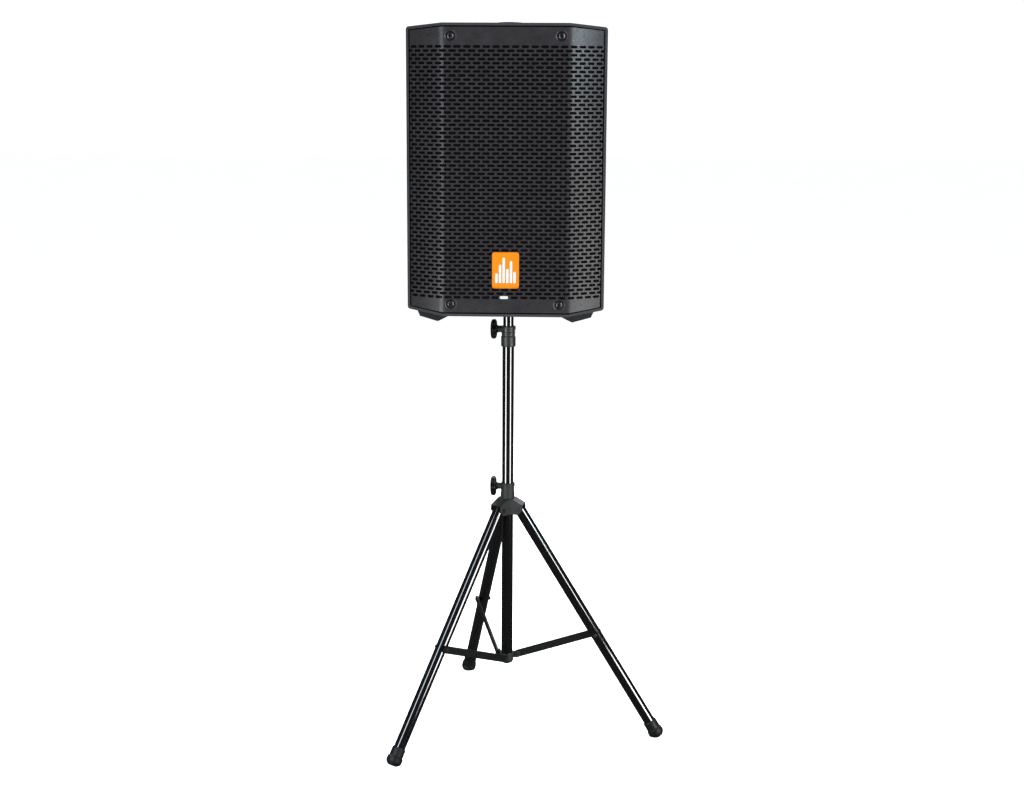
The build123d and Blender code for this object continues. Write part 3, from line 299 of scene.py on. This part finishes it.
def wear(obj, look):
    """Give an object one of the looks as its only material."""
    obj.data.materials.clear()
    obj.data.materials.append(looks[look])


for node_name, look in node_looks.items():
    wear(NODES[node_name], look)


def piece(name, vertices, faces, look, body, *replaced, slot=None):
    """A new mesh piece in the frame's own coordinates, riding on a body."""
    mesh = bpy.data.meshes.new(name)
    mesh.from_pydata([tuple(v) for v in vertices], [], [tuple(f) for f in faces])
    mesh.update()
    mesh.polygons.foreach_set("use_smooth", [True] * len(mesh.polygons))
    obj = bpy.data.objects.new(name, mesh)
    scene.collection.objects.link(obj)
    wear(obj, look)
    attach(obj, body)
    if replaced:
        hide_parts(*replaced)
    return obj


# ---------------------------------------------------------------- the folded front's shape

CABINET_WIDTH = 450 * MM
HALF_FLAT = 141.5 * MM
FRONT_Y = -230 * MM
FOLD_DEPTH = 46 * MM
FOLD = atan(FOLD_DEPTH / (CABINET_WIDTH / 2 - HALF_FLAT))
EDGE_INSET = 9 * MM
TOP_Z, BOTTOM_Z = 1716 * MM, 1065 * MM
TOP_DROP, BOTTOM_RISE = 8 * MM, 11 * MM
SHEET = 1.6 * MM
BEND = 45 * MM
BEND_STEPS = 8
BOW = radians(8)

turn_in = FOLD - BOW / 2
bend_start = HALF_FLAT - BEND * sin(turn_in) + BEND * (1 - cos(turn_in)) / tan(FOLD)
bend_end = bend_start + BEND * turn_in
facet_start = bend_start + BEND * sin(turn_in)
bow_radius = (CABINET_WIDTH / 2 - EDGE_INSET - facet_start) / cos(FOLD) / (2 * sin(BOW / 2))
SHEET_HALF = bend_end + bow_radius * BOW


def fold_point(u, depth):
    """(x, y) at the unrolled distance u from the sheet's middle and a depth behind its front face.

    The fold is a soft bend, and each side panel is bowed very slightly outwards.
    """
    side = 1 if u >= 0 else -1
    u = abs(u)
    if u <= bend_start:
        return side * u, FRONT_Y + depth
    if u <= bend_end:
        turned = (u - bend_start) / BEND
        x = bend_start + (BEND - depth) * sin(turned)
        y = FRONT_Y + BEND - (BEND - depth) * cos(turned)
        return side * x, y
    turned = turn_in + (u - bend_end) / bow_radius
    x = facet_start - bow_radius * sin(turn_in) + (bow_radius - depth) * sin(turned)
    y = FRONT_Y + BEND * (1 - cos(turn_in)) + bow_radius * cos(turn_in) - (bow_radius - depth) * cos(turned)
    return side * x, y


def sheet_top(u, inset=EDGE_INSET):
    """The height of the sheet's upper edge, which drops towards the sides."""
    x = abs(fold_point(u, 0)[0])
    drop = TOP_DROP * max(0.0, x - HALF_FLAT) / (CABINET_WIDTH / 2 - HALF_FLAT)
    return TOP_Z - inset - drop


def sheet_bottom(u, inset=EDGE_INSET):
    """The height of the sheet's lower edge, which rises towards the sides."""
    x = abs(fold_point(u, 0)[0])
    rise = BOTTOM_RISE * max(0.0, x - HALF_FLAT) / (CABINET_WIDTH / 2 - HALF_FLAT)
    return BOTTOM_Z + inset + rise


# ---------------------------------------------------------------- perforated grille

ROWS = 63
FIRST_ROW, LAST_ROW = 1664.5 * MM, 1108.6 * MM
ROW_PITCH = (FIRST_ROW - LAST_ROW) / (ROWS - 1)
SLOTS_PER_HALF = 10.5
SLOT_PITCH = SHEET_HALF / SLOTS_PER_HALF
SLOT_LENGTH = 16.9 * MM
SLOT_HEIGHT = 5.9 * MM
END_STEPS = 6
SCREW_X = 123 * MM
SCREW_Z = (1688 * MM, 1093 * MM)
LED_X, LED_Z = -2 * MM, 1109 * MM
# The pressed seat round each screw: (radius, depth) in millimetres, and the cells its patch spans.
DISH_RINGS = [
    (13.6, 0.0), (13.2, 0.1), (12.6, 0.35), (11.8, 0.85), (11.0, 1.4), (10.2, 2.2), (9.5, 3.4),
    (8.9, 4.0), (2.7, 4.0),
]
DISH_CELLS = (int(SCREW_X / (SLOT_PITCH / 2)) - 1, int(SCREW_X / (SLOT_PITCH / 2)) + 2)
DISH_STEPS = 40
BAND_ROWS = 5


class Flat:
    """Vertices and faces of the sheet while it is flat, with coincident corners shared."""

    def __init__(self):
        self.points, self.faces, self.index = [], [], {}

    def at(self, u, v):
        key = (round(u * 1e6), round(v * 1e6))
        if key not in self.index:
            self.index[key] = len(self.points)
            self.points.append((u, v))
        return self.index[key]

    def face(self, *corners):
        numbers = []
        for corner in corners:
            number = self.at(*corner)
            if number not in numbers:
                numbers.append(number)
        if len(numbers) > 2:
            self.faces.append(numbers)


flat = Flat()
half_slot = SLOT_LENGTH / 2 - SLOT_HEIGHT / 2
round_end = [
    (half_slot + SLOT_HEIGHT / 2 * cos(a), SLOT_HEIGHT / 2 * sin(a))
    for a in (pi / 2 - pi * k / END_STEPS for k in range(END_STEPS + 1))
]
cells_out = int(SHEET_HALF / SLOT_PITCH) + 2


def slot_cell(u, v):
    """One cell of the pattern: the sheet round a slot whose middle is at (u, v)."""
    w, h = SLOT_PITCH / 2, ROW_PITCH / 2
    for side in (-1, 1):
        ring = [(u + side * x, v + z) for x, z in round_end]
        top, bottom = (u + side * w, v + h), (u + side * w, v - h)
        middle = END_STEPS // 2
        for k in range(END_STEPS):
            corner = top if k < middle else bottom
            face = (corner, ring[k], ring[k + 1])
            flat.face(*(face if side < 0 else face[::-1]))
        face = (top, ring[middle], bottom)
        flat.face(*(face if side < 0 else face[::-1]))
    for rise in (-1, 1):
        slot_edge = v + rise * SLOT_HEIGHT / 2
        left, right = (u - half_slot, slot_edge), (u + half_slot, slot_edge)
        far = [(u - w, v + rise * h), (u, v + rise * h), (u + w, v + rise * h)]
        for face in ((far[0], far[1], left), (left, far[1], right), (far[1], far[2], right)):
            flat.face(*(face[::-1] if rise > 0 else face))


def plain_cell(u, v):
    """One cell without its slot, behind the light bar."""
    w, h = SLOT_PITCH / 2, ROW_PITCH / 2
    flat.face((u - w, v - h), (u, v - h), (u + w, v - h), (u + w, v + h), (u, v + h), (u - w, v + h))


for row in range(ROWS):
    v = FIRST_ROW - row * ROW_PITCH
    shift = 0.5 * (row % 2)
    for k in range(-cells_out, cells_out + 1):
        u = (k + shift) * SLOT_PITCH
        if abs(v - LED_Z) < ROW_PITCH / 2 and abs(u - LED_X) < SLOT_PITCH * 0.8:
            plain_cell(u, v)
        else:
            slot_cell(u, v)


def band(near, far, rows):
    """The plain strip above or below the slots, with a patch left open round each screw's dish."""
    for k in range(-2 * cells_out, 2 * cells_out):
        if DISH_CELLS[0] <= k < DISH_CELLS[1] or DISH_CELLS[0] <= -k - 1 < DISH_CELLS[1]:
            continue
        a, b = k * SLOT_PITCH / 2, (k + 1) * SLOT_PITCH / 2
        for r in range(rows):
            low, high = near + (far - near) * r / rows, near + (far - near) * (r + 1) / rows
            corners = ((a, low), (b, low), (b, high), (a, high))
            flat.face(*(corners if far > near else corners[::-1]))


def dish_depth(u, v):
    """How far the sheet is pressed in at (u, v)."""
    for z in SCREW_Z:
        radius = hypot(abs(u) - SCREW_X, v - z) / MM
        if radius < DISH_RINGS[0][0]:
            reach, depth = zip(*DISH_RINGS[::-1])
            return float(np.interp(radius, reach, depth)) * MM
    return 0.0


def dish_patch(side, z, near, far):
    """The square of sheet round one screw: pressed rings, and triangles out to the square's edge."""
    a, b = sorted(side * k * SLOT_PITCH / 2 for k in DISH_CELLS)
    low, high = sorted((near, far))
    columns, rows = DISH_CELLS[1] - DISH_CELLS[0], BAND_ROWS
    across = [a + (b - a) * k / columns for k in range(columns + 1)]
    up = [low + (high - low) * r / rows for r in range(rows + 1)]
    outer = [(u, low) for u in across[:-1]] + [(b, v) for v in up[:-1]]
    outer += [(u, high) for u in across[:0:-1]] + [(a, v) for v in up[:0:-1]]
    circles = []
    for radius, _ in DISH_RINGS:
        angles = [2 * pi * k / DISH_STEPS for k in range(DISH_STEPS)]
        circles.append([(side * SCREW_X + radius * MM * cos(t), z + radius * MM * sin(t)) for t in angles])
    points = outer + circles[0]
    n, m = len(outer), DISH_STEPS
    loops = [(k, (k + 1) % n) for k in range(n)] + [(n + k, n + (k + 1) % m) for k in range(m)]
    found = delaunay_2d_cdt([Vector(p) for p in points], loops, [list(range(n))], 1, 1e-7)
    for face in found[2]:
        corners = [tuple(found[0][k]) for k in face]
        centre = Vector((sum(c[0] for c in corners), sum(c[1] for c in corners))) / len(corners)
        if (centre - Vector((side * SCREW_X, z))).length > DISH_RINGS[0][0] * MM * cos(pi / m):
            turn = (Vector(corners[1]) - Vector(corners[0])).cross(Vector(corners[2]) - Vector(corners[0]))
            flat.face(*(corners if turn > 0 else corners[::-1]))
    for outside, inside in zip(circles, circles[1:]):
        for k in range(m):
            flat.face(inside[k], outside[k], outside[(k + 1) % m], inside[(k + 1) % m])


for near, far, z in (
    (FIRST_ROW + ROW_PITCH / 2, TOP_Z - EDGE_INSET, SCREW_Z[0]),
    (LAST_ROW - ROW_PITCH / 2, BOTTOM_Z + EDGE_INSET, SCREW_Z[1]),
):
    band(near, far, BAND_ROWS)
    for side in (-1, 1):
        dish_patch(side, z, near, far)

sheet = bmesh.new()
for u, v in flat.points:
    sheet.verts.new((u, v, 0))
sheet.verts.ensure_lookup_table()
for numbers in flat.faces:
    sheet.faces.new([sheet.verts[n] for n in numbers])


def cut(point, normal, drop=False):
    """Split the sheet along a plane, and drop what lies beyond it if asked."""
    bmesh.ops.bisect_plane(
        sheet,
        geom=sheet.verts[:] + sheet.edges[:] + sheet.faces[:],
        dist=1e-7,
        plane_co=point,
        plane_no=normal,
        clear_outer=drop,
    )


for side in (-1, 1):
    cut((side * SHEET_HALF, 0, 0), (side, 0, 0), True)
    for k in range(BEND_STEPS + 1):
        cut((side * (bend_start + (bend_end - bend_start) * k / BEND_STEPS), 0, 0), (1, 0, 0))
    for edge, direction in ((sheet_top, 1), (sheet_bottom, -1)):
        a, b = (Vector((side * u, edge(u), 0)) for u in (bend_end, SHEET_HALF))
        slope = (b - a).normalized()
        normal = Vector((-slope.y, slope.x, 0))
        cut(a, normal if normal.y * direction > 0 else -normal, True)

sheet.verts.index_update()
flat_points = [(v.co.x, v.co.y) for v in sheet.verts]
flat_faces = [[v.index for v in f.verts] for f in sheet.faces]
sheet.free()
count = len(flat_points)
vertices = []
for back in (0.0, SHEET):
    for u, v in flat_points:
        x, y = fold_point(u, dish_depth(u, v) + back)
        vertices.append((x, y, v))
edges = dict.fromkeys(pair for face in flat_faces for pair in zip(face, face[1:] + face[:1]))
walls = [(a + count, b + count, b, a) for a, b in edges if (b, a) not in edges]
faces = flat_faces + [[n + count for n in face[::-1]] for face in flat_faces] + walls
grille = piece("grille_sheet", vertices, faces, "grille", "cabinet", "grille", slot="grille_steel")
grille.data.set_sharp_from_angle(angle=radians(38))

# ---------------------------------------------------------------- foam behind the grille

FOAM_HALF = SHEET_HALF - 3 * MM
FOAM_INSET = 12 * MM
FOAM_DEPTHS = (2.1 * MM, 5.4 * MM)
FOAM_ROUNDING = 0.5 * MM
FOAM_RIPPLE = 0.25 * MM
ACROSS, UP = 90, 120

foam_points, foam_faces = [], []
for layer, depth in enumerate(FOAM_DEPTHS):
    for r in range(UP + 1):
        for c in range(ACROSS + 1):
            u = -FOAM_HALF + 2 * FOAM_HALF * c / ACROSS
            low, high = sheet_bottom(u, FOAM_INSET), sheet_top(u, FOAM_INSET)
            v = low + (high - low) * r / UP
            steps_in = min(c, ACROSS - c, r, UP - r)
            sink = (1 if layer == 0 else -1) * FOAM_ROUNDING * max(0.0, 1 - steps_in / 2)
            ripple = FOAM_RIPPLE * noise.noise(Vector((u, v, layer)) * 45)
            x, y = fold_point(u, depth + sink + ripple + dish_depth(u, v))
            foam_points.append((x, y, v))
row = ACROSS + 1
total = row * (UP + 1)
for r in range(UP):
    for c in range(ACROSS):
        k = r * row + c
        foam_faces.append((k, k + 1, k + 1 + row, k + row))
        foam_faces.append((total + k, total + k + row, total + k + 1 + row, total + k + 1))
rim = list(range(row)) + [r * row + ACROSS for r in range(1, UP + 1)]
rim += [UP * row + c for c in range(ACROSS - 1, -1, -1)] + [r * row for r in range(UP - 1, 0, -1)]
for a, b in zip(rim, rim[1:] + rim[:1]):
    foam_faces.append((b, a, total + a, total + b))
foam = piece("foam_liner", foam_points, foam_faces, "foam", "cabinet", "grille_foam", slot="grille_foam")

# ---------------------------------------------------------------- turned and moulded details


class Mesh:
    """Closed skins gathered into one piece."""

    def __init__(self):
        self.vertices, self.faces = [], []

    def loft(self, rings):
        """A skin over rings of equal length, with both ends capped."""
        start, count = len(self.vertices), len(rings[0])
        for ring in rings:
            self.vertices.extend(ring)
        for r in range(len(rings) - 1):
            near, far = start + r * count, start + (r + 1) * count
            for k in range(count):
                after = (k + 1) % count
                self.faces.append((near + k, near + after, far + after, far + k))
        last = start + (len(rings) - 1) * count
        self.faces.append(tuple(range(start + count - 1, start - 1, -1)))
        self.faces.append(tuple(range(last, last + count)))

    def turn(self, at, axis, side, profile, shape=None, steps=48):
        """Rings along an axis from (distance, radius, share of the shape) in millimetres."""
        at, axis, e1 = Vector(at), Vector(axis), Vector(side)
        e2 = axis.cross(e1)
        rings = []
        for distance, radius, *share in profile:
            ring = []
            for k in range(steps):
                t = 2 * pi * k / steps
                reach = radius * (1 + share[0] * (shape(t) - 1)) if share else radius
                ring.append((at + (axis * distance + e1 * (reach * cos(t)) + e2 * (reach * sin(t))) * MM))
            rings.append(ring)
        self.loft(rings)

    def plate(self, at, axis, side, layers, steps=6):
        """Rounded rectangles along an axis from (distance, width, height, corner) in millimetres."""
        at, axis, e1 = Vector(at), Vector(axis), Vector(side)
        e2 = axis.cross(e1)
        rings = []
        for distance, width, height, corner in layers:
            ring = []
            for quarter, (sx, sy) in enumerate(((1, 1), (-1, 1), (-1, -1), (1, -1))):
                for k in range(steps + 1):
                    t = pi / 2 * (quarter + k / steps)
                    x = sx * (width / 2 - corner) + corner * cos(t)
                    y = sy * (height / 2 - corner) + corner * sin(t)
                    ring.append(at + (axis * distance + e1 * x + e2 * y) * MM)
            rings.append(ring)
        self.loft(rings)

    def make(self, name, look, body, *replaced, slot=None, angle=35):
        """Make the gathered skins one piece, sharp where faces meet at more than the angle."""
        obj = piece(name, self.vertices, self.faces, look, body, *replaced, slot=slot)
        obj.data.set_sharp_from_angle(angle=radians(angle))


# Outlines for turned shapes, as shares of the radius at the angle t.
def hexagon(t):
    return cos(pi / 6) / cos(t % (pi / 3) - pi / 6)


def lobes(t):
    return 1 - 0.09 * (1 - cos(6 * t))


def flutes(t):
    return 1 - 0.03 * (1 - cos(20 * t))


FRONT, BACK, LEFT = (0, -1, 0), (0, 1, 0), (-1, 0, 0)

screw_profile = [
    (-30.6, 0.6), (-30.2, 2.5), (-4, 2.5), (-4, 8.4), (-2.6, 8.5), (-1.4, 8.1), (-0.3, 7.2),
    (0.5, 6), (0.95, 4.9), (1.05, 4.5), (0.9, 4.2, 1), (-2.3, 4, 1), (-2.4, 0.4, 1),
]
screws = Mesh()
for x in (-SCREW_X, SCREW_X):
    for z in SCREW_Z:
        screws.turn((x, FRONT_Y, z), FRONT, (1, 0, 0), screw_profile, hexagon)
screws.make("grille_screw_heads", "screw", "cabinet", "grille_screws", slot="screw_black")

BADGE_X, BADGE_Z = 1.5 * MM, 1171 * MM
BAR_HEIGHTS = (22, 42, 58, 32, 50, 26)
BAR_PITCH = 8.2
BARS_BELOW = 29
badge = Mesh()
badge.plate((BADGE_X, FRONT_Y, BADGE_Z), FRONT, (1, 0, 0), [
    (0, 61, 82, 6), (1.8, 61, 82, 6), (2.3, 60.5, 81.5, 5.8), (2.5, 59.4, 80.4, 5.3),
    (2.5, 57.6, 78.6, 4.4), (2.0, 57, 78, 4.1),
])
badge.make("badge_plate", "orange", "cabinet", "badge", slot="badge")
bars = Mesh()
for k, height in enumerate(BAR_HEIGHTS):
    x = BADGE_X + (k - (len(BAR_HEIGHTS) - 1) / 2) * BAR_PITCH * MM
    z = BADGE_Z + (height / 2 - BARS_BELOW) * MM
    bars.plate((x, FRONT_Y, z), FRONT, (1, 0, 0), [
        (2, 5.6, height, 2.5), (2.35, 5.6, height, 2.5), (2.48, 5, height - 0.6, 2.2),
    ])
bars.make("badge_level_bars", "white", "cabinet", slot="badge")

led = Mesh()
led.plate((LED_X, FRONT_Y, LED_Z), FRONT, (1, 0, 0), [
    (-9, 23, 8.4, 0.6), (-1.7, 23, 8.4, 0.6), (-1.7, 19, 6.4, 3.1), (0.8, 19, 6.4, 3.1),
    (1.3, 18.2, 5.6, 2.7), (1.5, 16.6, 4, 1.9),
])
led.make("led_light_bar", "led", "cabinet", "led_lens", slot="led_lens")

# Each clamp's height in metres, and how far its screw's tip stays from the column's axis in millimetres.
for name, z, tip in (("upper_knob", 1.002, 12.9), ("lower_knob", 0.612, 14.4)):
    clamp = Mesh()
    clamp.turn((0, 0, z), LEFT, (0, 1, 0), [
        (tip, 3.2), (tip + 0.6, 4), (24, 4), (24, 8.6), (24.6, 9), (27.2, 9.4), (27.3, 14, 0.4),
        (27.9, 19.5, 0.9), (29.2, 22.8, 1), (31, 24.5, 1), (33.5, 25, 1), (36.5, 25, 1),
        (39, 24.2, 1), (40.8, 22.2, 1), (42, 18.5, 0.9), (42.6, 13.5, 0.5), (42.9, 9, 0),
        (42.3, 8.2, 0), (42.3, 1, 0),
    ], lobes, 96)
    clamp.make(f"{name}_head", "clamp", name, name, slot="clamp_knob_plastic", angle=50)

# The dials and sockets on the amplifier panel, in metres.
DIAL_X = (-0.062, -0.022)
DIAL_Z = 1.384
SOCKET_X = (-0.062, -0.022, 0.018)
SOCKET_Z = 1.322
SOCKET_FLOOR_Y = 0.136
KNOB_Y = 0.150
PANEL_Y = 0.153
POINTER_UP = 0.0044
TICK_RADIUS = 0.0148
PIN_RADIUS = 0.0052
# The dials turn this many degrees each way, and carry this many ticks.
DIAL_SWEEP = 140
TICKS = 11

for number, x in enumerate(DIAL_X, 1):
    body = f"level_knob_{number}"
    dial = Mesh()
    dial.turn((x, KNOB_Y, DIAL_Z), BACK, (-1, 0, 0), [
        (15, 0.8), (15, 3.05), (4, 3.05), (4, 10.8), (4.3, 11), (6.8, 10.6), (7.2, 10.2), (7.6, 9, 0.5),
        (8.2, 8.8, 1), (17.8, 8, 1), (18.6, 7.6, 0.6), (19, 6.9, 0), (19, 0.8, 0),
    ], flutes, 120)
    dial.make(f"{body}_cap", "knob", body, body, slot="knob_plastic")
    pointer = Mesh()
    pointer_layers = [(18.6, 1.1, 4.4, 0.4), (19.08, 1.1, 4.4, 0.4)]
    pointer.plate((x, KNOB_Y, DIAL_Z + POINTER_UP), BACK, (-1, 0, 0), pointer_layers, 2)
    pointer.make(f"{body}_pointer", "marks", body, slot="knob_plastic")

marks = Mesh()
for x in DIAL_X:
    for k in range(TICKS):
        a = radians(-DIAL_SWEEP + 2 * DIAL_SWEEP / (TICKS - 1) * k)
        long = 3.2 if k % 5 == 0 else 2.0
        side = Vector((-cos(a), 0, -sin(a)))
        at = Vector((x, PANEL_Y, DIAL_Z)) + Vector((-sin(a), 0, cos(a))) * TICK_RADIUS
        marks.plate(at, BACK, side, [(-0.1, 0.6, long, 0.25), (0.12, 0.6, long, 0.25)], 2)
marks.make("level_dial_ticks", "marks", "cabinet", slot="panel_metal")

pins = Mesh()
for x in SOCKET_X:
    for a in (radians(90), radians(210), radians(330)):
        at = (x + PIN_RADIUS * cos(a), SOCKET_FLOOR_Y, SOCKET_Z + PIN_RADIUS * sin(a))
        pins.turn(at, BACK, (1, 0, 0), [(-1, 1.1), (7.2, 1.1), (8, 0.5)], steps=16)
pins.make("signal_socket_pins", "pot", "cabinet", slot="pot_metal")

# ---------------------------------------------------------------- floor, light and camera


def stage_material(name, colour):
    """The floor's matt white, with a glow of its own so that it stays pale away from the lights."""
    t = Tree(name)
    t.set(Roughness=0.9, Specular_IOR_Level=0.1, Emission_Strength=0.72)
    tone = t.ramp(t.noise(1.5, 2.0), [(0.3, shade(colour, 0.985)), (0.7, colour)])
    t.link(tone, t.shader.inputs["Emission Color"])
    return t.finish(tone)


floor_mesh = bpy.data.meshes.new("floor")
floor_mesh.from_pydata([(-30, -30, 0), (30, -30, 0), (30, 30, 0), (-30, 30, 0)], [], [(0, 1, 2, 3)])
floor = bpy.data.objects.new("floor", floor_mesh)
scene.collection.objects.link(floor)
floor.data.materials.append(stage_material("floor_white", (0.95, 0.95, 0.95)))
floor.visible_glossy = False

world = bpy.data.worlds.new("studio")
scene.world = world
world.use_nodes = True
sky = world.node_tree
ray = sky.nodes.new("ShaderNodeLightPath")
background = sky.nodes["Background"]
background.inputs["Color"].default_value = (0.97, 0.985, 1.0, 1)
# How bright the world is as a fill, as the camera sees it, and in reflections.
WORLD_FILL, WORLD_SEEN, WORLD_GLOSS = 0.35, 1.1, 0.06
seen = sky.nodes.new("ShaderNodeMath")
seen.operation = "MULTIPLY_ADD"
seen.inputs[1].default_value = WORLD_SEEN - WORLD_FILL
seen.inputs[2].default_value = WORLD_FILL
sky.links.new(ray.outputs["Is Camera Ray"], seen.inputs[0])
gloss = sky.nodes.new("ShaderNodeMath")
gloss.operation = "MULTIPLY_ADD"
gloss.inputs[1].default_value = WORLD_GLOSS - WORLD_FILL
sky.links.new(ray.outputs["Is Glossy Ray"], gloss.inputs[0])
sky.links.new(seen.outputs[0], gloss.inputs[2])
sky.links.new(gloss.outputs[0], background.inputs["Strength"])

CAMERA_AT = Vector((0.1454, -3.8900, 1.5992))
TURN, TILT, ROLL = radians(2.0), radians(90 - 11.06), radians(0.3)


def softbox(name, azimuth, distance, height, size, radiance, colour=(1, 1, 1), aim=None):
    """A rectangular soft light; azimuth 0 is on the camera's side and 90 is to its right."""
    lamp = bpy.data.lights.new(name, "AREA")
    lamp.shape = "RECTANGLE"
    lamp.size, lamp.size_y = size
    lamp.energy = radiance * pi * size[0] * size[1]
    lamp.color = colour
    obj = bpy.data.objects.new(name, lamp)
    scene.collection.objects.link(obj)
    a = radians(azimuth) + TURN
    at = Vector((distance * sin(a), -distance * cos(a), height))
    target = Vector((0, 0, height)) if aim is None else Vector(aim)
    to_target = (target - at).to_track_quat("-Z", "Y").to_matrix().to_4x4()
    obj.matrix_world = Matrix.Translation(at) @ to_target
    obj.visible_camera = False


WARM, COOL_LEFT, COOL_RIGHT = (1.0, 0.97, 0.92), (0.78, 0.90, 1.0), (0.74, 0.91, 1.0)
softbox("left_low", -43.5, 2.2, 0.47, (0.73, 0.9), 19)
softbox("left_top", -38, 3.0, 2.0, (0.8, 2.2), 12, COOL_LEFT)
softbox("right_low", 51.5, 2.2, 0.41, (0.72, 0.78), 19)
softbox("right_middle", 57, 3.0, 0.98, (0.5, 0.42), 25, WARM)
softbox("right_upper", 44, 3.0, 1.40, (0.5, 0.42), 25, WARM)
softbox("right_top", 48, 3.0, 2.4, (0.85, 1.4), 33, COOL_RIGHT)
softbox("overhead", 180, 2.2, 3.6, (3.0, 2.0), 15 / pi, aim=(0, 0, 1.2))
softbox("rear_left", 152, 3.4, 2.5, (1.6, 2.2), 4.5, aim=(0, 0, 1.3))
softbox("rear_right", -152, 3.4, 2.5, (1.6, 2.2), 4, aim=(0, 0, 1.3))

camera_data = bpy.data.cameras.new("camera")
camera_data.lens = 57.3
camera_data.sensor_width = 36.0
camera_data.clip_end = 200
camera = bpy.data.objects.new("camera", camera_data)
scene.collection.objects.link(camera)
camera.matrix_world = (
    Matrix.Translation(CAMERA_AT)
    @ Matrix.Rotation(TURN, 4, "Z")
    @ Matrix.Rotation(TILT, 4, "X")
    @ Matrix.Rotation(ROLL, 4, "Z")
)
scene.camera = camera
scene.view_settings.view_transform = "Standard"
scene.view_settings.look = "None"
